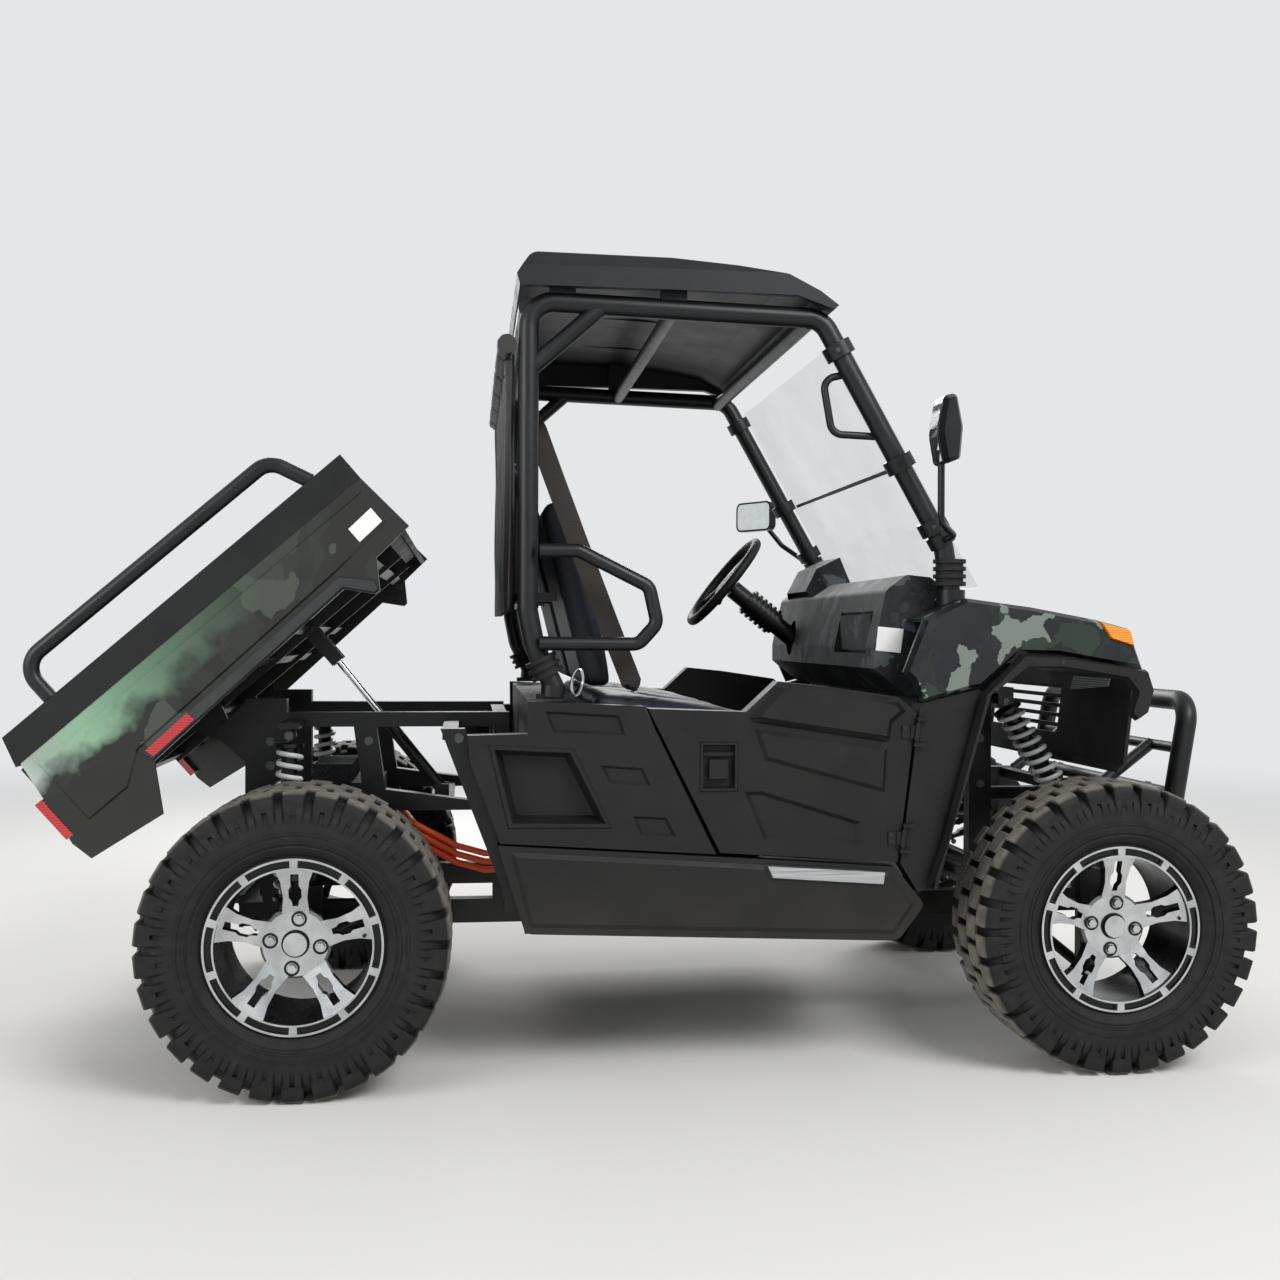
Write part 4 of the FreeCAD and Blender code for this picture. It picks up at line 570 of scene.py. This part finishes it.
# Cab floor, seat base, doors, sills and side panels: moulded polypropylene.
# Matt warm black with a leather grain, dusty towards the sill.
dress(moulded_plastic("panel_polypropylene", ("0e0e0e", "171716")), "door_left", "door_right",
      "rear_side_panels", "front_arches")
dress(moulded_plastic("sill_polypropylene", ("111111", "1a1a19"), rough=(0.5, 0.66), dusty=True),
      "sill_panels", "cab_floor", "seat_base", "front_fascia")
dress(moulded_plastic("boot_rubber", ("0e0e0f", "191919"), 600.0, (0.55, 0.7)), "pillar_boots")

# Step strips: aluminium, brushed along their length.
# Bright, with a soft shine. The lines are drawn 2.5 mm apart, because real ones are too fine to show.
brushed, brushed_place = new_material("step_brushed_aluminium")
stretched = node(brushed, "Mapping", {"Vector": brushed_place}, Scale=(5.0, 400.0, 400.0))
strokes = node(brushed, "TexNoise", {"Vector": stretched}, Scale=1.0, Detail=3.0)
brushed_shade = node(brushed, "ValToRGB", {0: strokes}, ((0.35, "9b9ea0"), (0.65, "c3c5c6")))
brushed_gloss = node(brushed, "MapRange", {0: strokes}, span=(0.35, 0.65, 0.28, 0.42))
dress(surfaced(brushed, {"Base Color": brushed_shade, "Roughness": brushed_gloss}, Metallic=1.0),
      "step_strips")


# Hood, front fenders, dash top and bed sides: glossy plastic in a camouflage film.
# The film is printed in a common woodland pattern, and clear coated.
def camouflage(made, place, ground, patches, pale, scale, pale_from):
    """Ragged patches of three or four shades."""
    warp = node(made, "TexNoise", {"Vector": place}, Scale=scale * 3.2, Detail=3.0).outputs["Color"]
    push = node(made, "VectorMath", {0: warp}, operation="SCALE", Scale=0.055)
    bent = node(made, "VectorMath", {0: place, 1: push}, operation="ADD")
    large = node(made, "TexNoise", {"Vector": bent}, Scale=scale, Detail=1.5, Roughness=0.45)
    base = node(made, "ValToRGB", {0: large},
                ((0.0, ground), (0.47, patches[0]), (0.53, ground), (0.58, patches[1])))
    base.color_ramp.interpolation = "CONSTANT"
    shifted = node(made, "Mapping", {"Vector": bent}, Location=(3.1, 1.7, 5.3))
    small = node(made, "TexNoise", {"Vector": shifted}, Scale=scale * 1.25, Detail=1.5, Roughness=0.45)
    mask = node(made, "Math", {0: small}, operation="GREATER_THAN", _1=pale_from)
    return node(made, "Mix", {"Factor": mask, 6: base}, data_type="RGBA", _7=colour(pale)).outputs[2]


def clear_coated(made, place, print_colour, gloss, coat):
    """The printed film's surface, clouded by dust."""
    dust = node(made, "TexNoise", {"Vector": place}, Scale=11.0, Detail=6.0)
    rough = node(made, "MapRange", {0: dust}, span=(0.3, 0.7, *gloss))
    return surfaced(made, {"Base Color": print_colour, "Roughness": rough}, Coat_Weight=coat,
                    Coat_Roughness=0.15, IOR=1.5, Specular_IOR_Level=0.35)


fender_film, film_place = new_material("fender_camouflage_film")
fender_print = camouflage(fender_film, film_place, "0d1116", ("141b18", "1f2b22"), "69716b", 9.0, 0.595)
dress(clear_coated(fender_film, film_place, fender_print, (0.32, 0.44), 0.15), "fenders", "hood")
dash_film, film_place = new_material("dash_camouflage_film")
dash_print = camouflage(dash_film, film_place, "0b0d10", ("13171a", "1d2427"), "3f464a", 11.0, 0.61)
dress(clear_coated(dash_film, film_place, dash_print, (0.55, 0.68), 0.0), "dash_panel")

# Bed sides: the same film, dark green-grey, with a painted reflection along the top: a pale green sheen band
# painted into the colour.
# The painted sheen turns to silver at the rear corner, and fades out to the front.
BED_HINGE = place_at(-1174, 0, 781)
BED_SLOPE = math.radians(41)
bed_film_and_sheen, film_place = new_material("bed_camouflage_film_painted_sheen")
bed_print = camouflage(bed_film_and_sheen, film_place, "1a1b17", ("20231d", "292d25"), "3b4038", 5.0, 0.6)
# Painted reflection: the sheen band is measured up the bed's slope from the hinge, and painted over the print
# along the top of the sides.
from_hinge = node(bed_film_and_sheen, "VectorMath", {0: film_place}, operation="SUBTRACT", _1=BED_HINGE)
height = node(bed_film_and_sheen, "VectorMath", {0: from_hinge}, operation="DOT_PRODUCT",
              _1=(-math.sin(BED_SLOPE), 0, math.cos(BED_SLOPE))).outputs["Value"]
length = node(bed_film_and_sheen, "VectorMath", {0: from_hinge}, operation="DOT_PRODUCT",
              _1=(math.cos(BED_SLOPE), 0, math.sin(BED_SLOPE))).outputs["Value"]
sheen_edge_wobble = node(bed_film_and_sheen, "TexNoise", {"Vector": film_place}, Scale=14.0, Detail=4.0)
sheen_edge_wobble = node(bed_film_and_sheen, "MapRange", {0: sheen_edge_wobble}, span=(0.3, 0.7, -0.03, 0.03))
edge = node(bed_film_and_sheen, "Math", {0: height, 1: sheen_edge_wobble}, operation="ADD")
sheen_lower_edge = node(bed_film_and_sheen, "MapRange", {0: edge}, span=(0.115, 0.165, 0.0, 1.0))
# The painted sheen fades out towards the front, and its shades run from a painted silver reflection at the
# rear corner to green.
fade = node(bed_film_and_sheen, "MapRange", {0: length}, span=(-0.15, 0.55, 1.0, 0.0))
band = node(bed_film_and_sheen, "Math", {0: sheen_lower_edge, 1: fade}, operation="MULTIPLY")
sheen_tint = node(bed_film_and_sheen, "MapRange", {0: length}, span=(-0.35, 0.35, 0.0, 1.0))
shades = node(bed_film_and_sheen, "ValToRGB", {0: sheen_tint},
              ((0.0, "c3c8c6"), (0.12, "8e9c92"), (0.3, "7da285"), (0.6, "5f7d66"), (1.0, "3c463d")))
# The painted sheen band is mixed over the printed film.
print_under_painted_sheen = node(bed_film_and_sheen, "Mix", {"Factor": band, 6: bed_print, 7: shades}, data_type="RGBA")
dress(clear_coated(bed_film_and_sheen, film_place, print_under_painted_sheen.outputs[2], (0.2, 0.32), 0.4), "bed_sides")
dress(moulded_plastic("bed_cap_polypropylene", ("0e0f10", "161718")), "bed_rim_cap", "bed_tub", "tailgate")
dress(moulded_plastic("bed_trim_polypropylene", ("2b2d2e", "363839"), rough=(0.4, 0.5)), "bed_arch_trims")

# Roof: a vacuum formed ABS shell.
# Dark blue-grey, lightly grained, with a soft shine.
dress(moulded_plastic("roof_abs", ("0f1115", "171a1f"), 700.0, (0.4, 0.52)), "roof_panel")


# Lamps: moulded acrylic lenses, red behind, amber at the front corners and clear ahead.
# Each has fine ribs moulded inside, which break the light.
def ribbed_acrylic(name, hexes):
    """Tinted acrylic with ribs inside."""
    made, place = new_material(name)
    ribs = node(made, "TexWave", {"Vector": place}, Scale=55.0, bands_direction="Z").outputs["Fac"]
    shade = node(made, "ValToRGB", {0: ribs}, ((0.2, hexes[0]), (0.8, hexes[1])))
    relief = node(made, "Bump", {"Height": ribs}, Strength=0.15, Distance=0.001)
    return surfaced(made, {"Base Color": shade, "Normal": relief}, Roughness=0.12, Coat_Weight=1.0, IOR=1.49)


red_acrylic = ribbed_acrylic("red_acrylic", ("8d1013", "c01c1f"))
dress(red_acrylic, "tail_lamps")
dress(ribbed_acrylic("amber_acrylic", ("d9690a", "f29a1c")), "corner_lamps")
dress(ribbed_acrylic("clear_acrylic", ("8d9193", "c9cdd0")), "head_lamps")


# Thin trim: a red reflector on each of the bed's arch bands, and blank white plates on the bed and the dash.
# All are thin sheets stuck on the side. Those of the bed tip with it.
def slab(corners, lift):
    """A flat plate from its corners, thickened by the vector lift."""
    corners = [Vector(c) for c in corners]
    faces = end_faces(2, len(corners)) + ring_faces(2, len(corners))
    return corners + [c + Vector(lift) for c in corners], faces


def side_plate(corners, y, thick):
    """A plate on the right side, from its corners as (x, z)."""
    return slab([place_at(x, y, z) for x, z in corners], (0, -thick, 0))


def tipped(part):
    """Drawn with the bed lowered, turned up about its hinge."""
    turn = Matrix.Rotation(-BED_SLOPE, 4, "Y")
    turn = Matrix.Translation(BED_HINGE) @ turn @ Matrix.Translation(-BED_HINGE)
    return [turn @ v for v in part[0]], part[1]


reflector = tipped(side_plate(((-1245, 816), (-1128, 820), (-1131, 841), (-1250, 837)), -718.2, 0.0016))
shaped("bed_reflectors", joined(reflector, flipped(reflector)), "bed", red_acrylic)
plate_film = moulded_plastic("white_label_film", ("d6d7d5", "e6e6e3"), rough=(0.3, 0.4), bump=0.02)
label = tipped(side_plate(((-606, 884), (-538, 888), (-538, 926), (-606, 922)), -710.1, 0.0005))
shaped("bed_blank_label", label, "bed", plate_film)
label = side_plate(((410, 1052), (474, 1046), (466, 988), (404, 994)), -570.2, 0.0005)
shaped("dash_blank_label", label, "chassis", plate_film)

# Windshield: clear polycarbonate sheet, 5 mm thick, in two panes.
# It is lightly scratched and dusty, which shows as a faint grey film. A black rubber strip joins the panes.
PILLAR_TOP = Vector((254, 0, 1780))
DOWN_PILLAR = Vector((0.494, 0, -0.87))
OFF_PILLAR = Vector((0.87, 0, 0.494))
JOINT_DEPTH = 0.0066
sheet, sheet_place = new_material("clear_polycarbonate")
haze = node(sheet, "TexNoise", {"Vector": sheet_place}, Scale=6.0, Detail=6.0)
film = node(sheet, "MapRange", {0: haze}, span=(0.3, 0.8, 0.07, 0.14))
dress(surfaced(sheet, {"Alpha": film}, Base_Color=colour("9aa1a3"), Roughness=0.04, IOR=1.58), "windshield")
corners = []
for down, y in ((396.5, -560), (396.5, 560), (406.5, 560), (406.5, -560)):
    corners.append(place_at(*(PILLAR_TOP + DOWN_PILLAR * down + OFF_PILLAR * 26.7 + Vector((0, y, 0)))))
shaped("pane_joint_strip", slab(corners, OFF_PILLAR * JOINT_DEPTH), "chassis",
       moulded_plastic("joint_strip_rubber", ("0b0b0c", "151516")))

# Mirrors and steering wheel: grained black plastic, and a foamed polyurethane rim.
# The mirrors' glass is a separate silvered pane on the rear of each shell.
GLASS_THICK = 0.0008
dress(moulded_plastic("mirror_abs", ("101113", "191b1e"), 600.0, (0.2, 0.3)), "mirrors")
dress(moulded_plastic("wheel_rim_foam", ("121213", "1b1b1c"), 800.0, (0.5, 0.62)), "steering_wheel")
turn = Matrix.Translation(place_at(385, 759, 1426)) @ Matrix.Rotation(math.radians(32), 4, "Z")
corners = []
for y, z, first in ((0.060, 0.027, 0), (-0.060, 0.027, 90), (-0.060, -0.027, 180), (0.060, -0.027, 270)):
    for step in range(7):
        bend = math.radians(first + 15 * step)
        corners.append(turn @ Vector((-0.0142, y + 0.016 * math.cos(bend), z + 0.016 * math.sin(bend))))
panes = [slab(corners, turn.to_3x3() @ Vector((-GLASS_THICK, 0, 0)))]
rear_edge = [(484.3, 1424), (477.8, 1450), (473.0, 1480), (473.4, 1500), (477.8, 1530), (484.3, 1560)]
for low, high in zip(rear_edge, rear_edge[1:]):
    corners = [place_at(x, y, z) for (x, z), y in ((low, -757), (low, -812), (high, -812), (high, -757))]
    panes.append(slab(corners, (-GLASS_THICK, 0, 0)))
silvering = zinc_steel("mirror_silvering", ("d4d8da", "e2e5e6"), (0.03, 0.05))
shaped("mirror_glass", joined(*panes), "chassis", silvering)

# Small bolts: door hinges, arch lips, windshield clamps and mirror clamps.
# Black zinc heads, a little brighter on their edges.
black_zinc = zinc_steel("bolt_black_zinc", ("2c2d2f", "434547"), (0.35, 0.48))
panel_spots = []
for side, name in ((-1, "right"), (1, "left")):
    outward = (0, side, 0)
    spots = [(place_at(x, side * 703.7, z + dz), outward) for x, z in ((404, 559), (436, 806))
             for dz in (-8, 8)]
    fasteners("door_bolts_" + name, spots, "door_" + name, black_zinc, 0.0042, 0.003)
    for x, z in ((540, 556), (640, 906), (800, 970), (985, 930)):
        panel_spots.append((place_at(x, side * 744.2, z), outward))
    for down in (85, 390, 560):
        panel_spots.append((place_at(*(PILLAR_TOP + DOWN_PILLAR * down + Vector((-10, side * 651.5, -6)))),
                            outward))
    panel_spots.append((place_at(549, side * 647.5, 1260), outward))
fasteners("panel_bolts", panel_spots, "chassis", black_zinc, 0.0045, 0.003)

# Seats: foam cushions under black vinyl, bolstered at the sides, with welted seams.
# The left ones are blown up from smaller pads by a cloth simulation held along the seams, then mirrored.
hide, hide_place = new_material("seat_vinyl")
hide_cloud = node(hide, "TexNoise", {"Vector": hide_place}, Scale=8.0, Detail=4.0)
hide_shade = node(hide, "ValToRGB", {0: hide_cloud}, ((0.3, "10131a"), (0.7, "1a202b")))
hide_grain = node(hide, "TexVoronoi", {"Vector": hide_place}, Scale=380.0)
hide_relief = node(hide, "Bump", {"Height": hide_grain}, Strength=0.25, Distance=0.0006)
vinyl = surfaced(hide, {"Base Color": hide_shade, "Normal": hide_relief}, Roughness=0.52,
                 Specular_IOR_Level=0.3)


def swollen_pad(name, outline, y0, y1, off_seam, held):
    """Vertices and faces of a pad on the left. off_seam gives how far a point is from the nearest seam."""
    work = bmesh.new()
    ends = [[work.verts.new(place_at(x, y, z)) for x, z in outline] for y in (y0, y1)]
    work.faces.new(ends[0])
    work.faces.new(ends[1])
    for i in range(len(outline)):
        j = (i + 1) % len(outline)
        work.faces.new((ends[0][i], ends[0][j], ends[1][j], ends[1][i]))
    bmesh.ops.recalc_face_normals(work, faces=work.faces)
    bmesh.ops.bevel(work, geom=work.edges[:], offset=PAD_ROUNDING, segments=4, profile=0.5, affect="EDGES",
                    clamp_overlap=True)
    mesh = bpy.data.meshes.new(name)
    work.to_mesh(mesh)
    work.free()
    pad = linked(name, mesh)
    voxels = pad.modifiers.new("voxels", "REMESH")
    voxels.mode, voxels.voxel_size = "VOXEL", 0.006
    pad.data = bpy.data.meshes.new_from_object(pad.evaluated_get(bpy.context.evaluated_depsgraph_get()))
    pad.modifiers.clear()
    start = [v.co.copy() for v in pad.data.vertices]
    facing = [v.normal.copy() for v in pad.data.vertices]
    seam = [off_seam(p, n) for p, n in zip(start, facing)]
    group = pad.vertex_groups.new(name="held")
    group.add([i for i, p in enumerate(start) if seam[i] < 0.005 or held(p, facing[i])], 1.0, "REPLACE")
    moved = start
    cloth = pad.modifiers.new("cloth", "CLOTH")
    cloth.settings.use_pressure = True
    cloth.settings.uniform_pressure_force = 4
    cloth.settings.effector_weights.gravity = 0
    cloth.settings.vertex_group_mass = "held"
    for frame_number in range(1, SWELL_FRAMES + 1):
        bpy.context.scene.frame_set(frame_number)
    shown = pad.evaluated_get(bpy.context.evaluated_depsgraph_get()).to_mesh()
    moved = [v.co.copy() for v in shown.vertices]
    bpy.context.scene.frame_set(1)
    points = []
    for old, new, off, out in zip(start, moved, seam, facing):
        step = new - old
        if step.length > MOST_SWELL:
            step *= MOST_SWELL / step.length
        ripple = noise.noise(old * 55.0) * 0.0012 * math.exp(-off / 0.05)
        points.append(old + step - out * (SEAM_DEPTH * math.exp(-(off / 0.007) ** 2) - ripple))
    faces = [tuple(face.vertices) for face in pad.data.polygons]
    bpy.data.objects.remove(pad)
    return points, faces


def laid_seam(part, starts, towards):
    """Welt cord along the points where rays from the starts meet the pad."""
    tree = BVHTree.FromPolygons(part[0], part[1])
    hits = [tree.ray_cast(start, Vector(towards))[0] for start in starts]
    return tube([hit for hit in hits if hit], WELT_RADIUS, 8)


CUSHION_SEAMS_Y, CUSHION_SEAM_X = (0.165, 0.455), 0.043
BACK_SEAMS_Y, BACK_SEAM_Z = (0.160, 0.425), 1.190
PAD_ROUNDING, MOST_SWELL, SWELL_FRAMES = 0.022, 0.012, 20
SEAM_DEPTH, WELT_RADIUS = 0.0045, 0.0021


def off_seams(sides, y, across):
    """How far a point is from two seams along a pad and one across it, between them."""
    low, high = sides
    return min(abs(y - low), abs(y - high), abs(across) if low < y < high else 1.0)


cushion = swollen_pad("seat_pad", [(-266, 793), (120, 793), (111, 835), (-211, 884), (-279, 887)], 58, 562,
                      lambda p, out: (1.0 if out.z < 0.4 else
                                      off_seams(CUSHION_SEAMS_Y, p.y, p.x - CUSHION_SEAM_X)),
                      lambda p, out: p.z < 0.799)
back = swollen_pad("back_pad", [(-297, 906), (-232, 906), (-313, 1318), (-380, 1352), (-402, 1320)], 68, 517,
                   lambda p, out: (1.0 if out.x < 0.3 else
                                   off_seams(BACK_SEAMS_Y, p.y, p.z - BACK_SEAM_Z)),
                   lambda p, out: out.x < -0.6 or p.z < 0.915)
welts = []
for y in CUSHION_SEAMS_Y:
    welts.append(laid_seam(cushion, [Vector((MIDDLE_X + x / 1000, y, 1.2)) for x in range(-272, 112, 6)],
                           (0, 0, -1)))
for y in BACK_SEAMS_Y:
    welts.append(laid_seam(back, [Vector((0.5, y, z / 1000)) for z in range(925, 1335, 6)], (-1, 0, 0)))
welts.append(laid_seam(cushion, [Vector((CUSHION_SEAM_X, y / 1000, 1.2)) for y in range(165, 456, 6)],
                       (0, 0, -1)))
welts.append(laid_seam(back, [Vector((0.5, y / 1000, BACK_SEAM_Z)) for y in range(160, 426, 6)], (-1, 0, 0)))
for side, change in (("left", lambda part: part), ("right", flipped)):
    for name, part in (("seat_cushion", cushion), ("seat_back", back)):
        piece = shaped(name + "_" + side, change(part), "chassis", vinyl, crease=180.0)
        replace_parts(piece, name + "s")
welts = joined(*welts)
shaped("seat_welts", joined(welts, flipped(welts)), "chassis", vinyl)

# Seat belts: woven polyester webbing, 48 mm wide, from a loop on the rear pillar to the seat's outer side.
# It turns to face the side on the way down. Dark brown-black, with steel loops and pull handles.
# The webbing's ribs are drawn 3.5 mm apart, about twice the real pitch, so that they show.
webbing, webbing_place = new_material("belt_webbing")
ribs = node(webbing, "TexWave", {"Vector": webbing_place}, Scale=90.0, bands_direction="Z").outputs["Fac"]
webbing_shade = node(webbing, "ValToRGB", {0: ribs}, ((0.2, "1c1714"), (0.8, "2b2420")))
webbing_relief = node(webbing, "Bump", {"Height": ribs}, Strength=0.4, Distance=0.0005)
surfaced(webbing, {"Base Color": webbing_shade, "Normal": webbing_relief}, Roughness=0.8)
BELT_MIDDLE = Vector((0, 0.024, 0))
top, low = place_at(-435, 542.7, 1559) + BELT_MIDDLE, place_at(-181.5, 542.7, 895) + BELT_MIDDLE
along = (low - top).normalized()
out = Vector((-along.z, 0, along.x))
edges = ((-24, -0.7), (-8, -0.6), (8, -0.6), (24, -0.7), (24.3, 0), (24, 0.7), (8, 0.6), (-8, 0.6),
         (-24, 0.7), (-24.3, 0))
BELT_STATIONS = 65
stations = []
for i in range(BELT_STATIONS):
    share = i / (BELT_STATIONS - 1)
    bow = out * (-0.0025 * math.sin(math.pi * share)) + Vector((0, 0.0012 * math.sin(7 * math.pi * share), 0))
    centre = top + (low - top) * share + bow
    ease = min(1.0, share / 0.1, (1 - share) / 0.035)
    turn = math.pi / 2 * ease * ease * (3 - 2 * ease)
    wide = Vector((0, math.cos(turn), 0)) + out * math.sin(turn)
    thick = out * math.cos(turn) - Vector((0, math.sin(turn), 0))
    stations += [centre + wide * across / 1000 + thick * lift / 1000 for across, lift in edges]
belt = (stations, ring_faces(BELT_STATIONS, len(edges)) + end_faces(BELT_STATIONS, len(edges)))
fittings = []
for middle in (top, low):
    loop = [middle + Vector((0, y, 0)) + out * off
            for y, off in ((-0.03, -0.005), (0.03, -0.005), (0.03, 0.005), (-0.03, 0.005))]
    fittings.append(tube(loop, 0.0026, 8, closed=True))
handle = []
for i in range(32):
    turn = 2 * math.pi * i / 32
    handle.append(place_at(-321 + 13 * math.cos(turn) + 4 * math.sin(turn), 600, 917 + 31 * math.sin(turn)))
fittings.append(tube(handle, 0.004, 8, closed=True))
fittings = joined(*fittings)
chrome = zinc_steel("belt_fitting_chrome", ("a9acae", "cfd2d3"), (0.15, 0.25))
shaped("belt_fittings", joined(fittings, flipped(fittings)), "chassis", chrome)
for side, part in (("left", belt), ("right", flipped(belt))):
    piece = shaped("seat_belt_" + side, part, "chassis", webbing)
    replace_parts(piece, "seat_belts")

# Rear curtain: coated nylon behind the seats, gathered on its rail, with a roll strapped along the top.
# It hangs in uneven upright folds that deepen towards the pillars. The weave is drawn coarser than it is.
nylon, nylon_place = new_material("curtain_coated_nylon")
nylon_cloud = node(nylon, "TexNoise", {"Vector": nylon_place}, Scale=14.0, Detail=5.0)
nylon_shade = node(nylon, "ValToRGB", {0: nylon_cloud}, ((0.3, "0f0e0d"), (0.7, "1f1c1a")))
weave = node(nylon, "TexWave", {"Vector": nylon_place}, Scale=260.0,
             bands_direction="DIAGONAL").outputs["Fac"]
nylon_relief = node(nylon, "Bump", {"Height": weave}, Strength=0.15, Distance=0.0004)
surfaced(nylon, {"Base Color": nylon_shade, "Normal": nylon_relief}, Roughness=0.55)


def fold_depth(y, z):
    """How far the cloth hangs behind the pillars."""
    swing = math.sin(2 * math.pi * y / 0.112 + 1.6 * noise.noise(Vector((y * 2.2, z * 1.5, 0.0))))
    crease = noise.noise(Vector((y * 16.0, z * 7.0, 4.0)))
    edge = min(1.0, abs(y) / 0.6) ** 4
    return 0.0155 + (0.0085 + 0.003 * edge) * swing + 0.0032 * crease


CURTAIN_X, CURTAIN_HALF = MIDDLE_X - 0.4635, 0.618
CURTAIN_THICK = 0.0016
CURTAIN_TOP, CURTAIN_FOOT = 1.676, 1.084
across, down = 220, 70
front_side, back_side = [], []
for j in range(down + 1):
    z = CURTAIN_TOP - (CURTAIN_TOP - CURTAIN_FOOT) * j / down
    for i in range(across + 1):
        y = -CURTAIN_HALF + 2 * CURTAIN_HALF * i / across
        x = CURTAIN_X - fold_depth(y, z)
        front_side.append(Vector((x, y, z)))
        back_side.append(Vector((x - CURTAIN_THICK, y, z)))
wide = across + 1
total = len(front_side)
faces = []
for j in range(down):
    for i in range(across):
        a, b = j * wide + i, j * wide + i + 1
        faces += [(a, b, b + wide, a + wide), (total + a + wide, total + b + wide, total + b, total + a)]
rim = list(range(wide)) + [j * wide + across for j in range(1, down + 1)]
rim += [down * wide + i for i in range(across - 1, -1, -1)] + [j * wide for j in range(down - 1, 0, -1)]
faces += [(rim[i - 1], rim[i], total + rim[i], total + rim[i - 1]) for i in range(len(rim))]
curtain = shaped("curtain_sheet", (front_side + back_side, faces), "chassis", nylon, 180.0)
ROLL_X, ROLL_Z = MIDDLE_X - 0.4875, 1.699
ROLL_HALF, ROLL_RADIUS = 0.622, 0.0222
ROLL_ROWS, ROLL_SIDES = 181, 36
STRAPS_Y = (-0.52, -0.26, 0.0, 0.26, 0.52)
roll = []
for i in range(ROLL_ROWS):
    y = -ROLL_HALF + 2 * ROLL_HALF * i / (ROLL_ROWS - 1)
    pinch = sum(math.exp(-((y - strap) / 0.014) ** 2) for strap in STRAPS_Y)
    for k in range(ROLL_SIDES):
        turn = 2 * math.pi * k / ROLL_SIDES
        radius = ROLL_RADIUS + 0.0016 * noise.noise(Vector((y * 22, math.cos(turn) * 2, math.sin(turn) * 2)))
        radius -= 0.003 * math.exp(-((turn - 4.0) / 0.14) ** 2) + 0.0035 * pinch
        roll.append(Vector((ROLL_X + radius * math.cos(turn), y, ROLL_Z + radius * math.sin(turn))))
roll = (roll, ring_faces(ROLL_ROWS, ROLL_SIDES) + end_faces(ROLL_ROWS, ROLL_SIDES))
curtain_roll = shaped("curtain_roll", roll, "chassis", nylon, 60.0)
band = [(0.0196, -0.0125), (0.0196, 0.0125), (0.0209, 0.0125), (0.0209, -0.0125)]
straps = [turned(band, Vector((ROLL_X, y, ROLL_Z)), (0, 1, 0), 28, hollow=True) for y in STRAPS_Y]
curtain_straps = shaped("curtain_straps", joined(*straps), "chassis", webbing)
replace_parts(curtain, "rear_curtain")

# Floor and light: a plain pale ground that fades into the background, under three soft panels.
# Only the camera, mirrors and glass see the background's own shade.
BACKGROUND = colour("e4e6e8")
floor_mesh = bpy.data.meshes.new("studio_floor")
floor_mesh.from_pydata([(-40, -40, 0), (40, -40, 0), (40, 40, 0), (-40, 40, 0)], [], [(0, 1, 2, 3)])
linked("studio_floor", floor_mesh)
floor_paint, floor_place = new_material("studio_floor_paint")
matt = node(floor_paint, "BsdfPrincipled", Base_Color=colour("dcdbd8"), Roughness=0.9)
distance = node(floor_paint, "VectorMath", {0: floor_place}, operation="LENGTH").outputs["Value"]
fade = node(floor_paint, "MapRange", {0: distance}, span=(2.5, 9.0), interpolation_type="SMOOTHSTEP")
glow = node(floor_paint, "Emission", Color=BACKGROUND, Strength=1.0)
node(floor_paint, "OutputMaterial", {"Surface": node(floor_paint, "MixShader", {0: fade, 1: matt, 2: glow})})
floor_mesh.materials.append(floor_paint)

world = bpy.data.worlds.new("studio")
world.use_nodes = True
world.node_tree.nodes.clear()
sky = node(world, "Background", Color=colour("f0f0f0"), Strength=0.6)
seen = node(world, "Background", Color=BACKGROUND, Strength=1.0)
path = node(world, "LightPath").outputs
shown = node(world, "Math", {0: path["Is Camera Ray"], 1: path["Is Transmission Ray"]}, operation="MAXIMUM")
shown = node(world, "Math", {0: shown, 1: path["Is Glossy Ray"]}, operation="MAXIMUM")
node(world, "OutputWorld", {0: node(world, "MixShader", {0: shown, 1: sky, 2: seen})})
bpy.context.scene.world = world


def panel_light(name, at, towards, size, power):
    """A soft rectangular lamp."""
    lamp = bpy.data.lights.new(name, "AREA")
    lamp.shape = "RECTANGLE"
    lamp.size, lamp.size_y = size
    lamp.energy = power
    made = linked(name, lamp)
    made.location = at
    made.rotation_euler = (Vector(towards) - Vector(at)).to_track_quat("-Z", "Y").to_euler()


panel_light("key_panel", (2.5, -4.5, 4.5), (0, 0, 0.8), (3.0, 2.0), 260)
panel_light("fill_panel", (-4.5, -3.5, 2.5), (0, 0, 0.8), (3.0, 2.0), 120)
panel_light("back_panel", (0.0, 4.5, 3.5), (0, 0, 1.0), (4.0, 2.0), 180)

bpy.context.scene.view_settings.view_transform = "Standard"
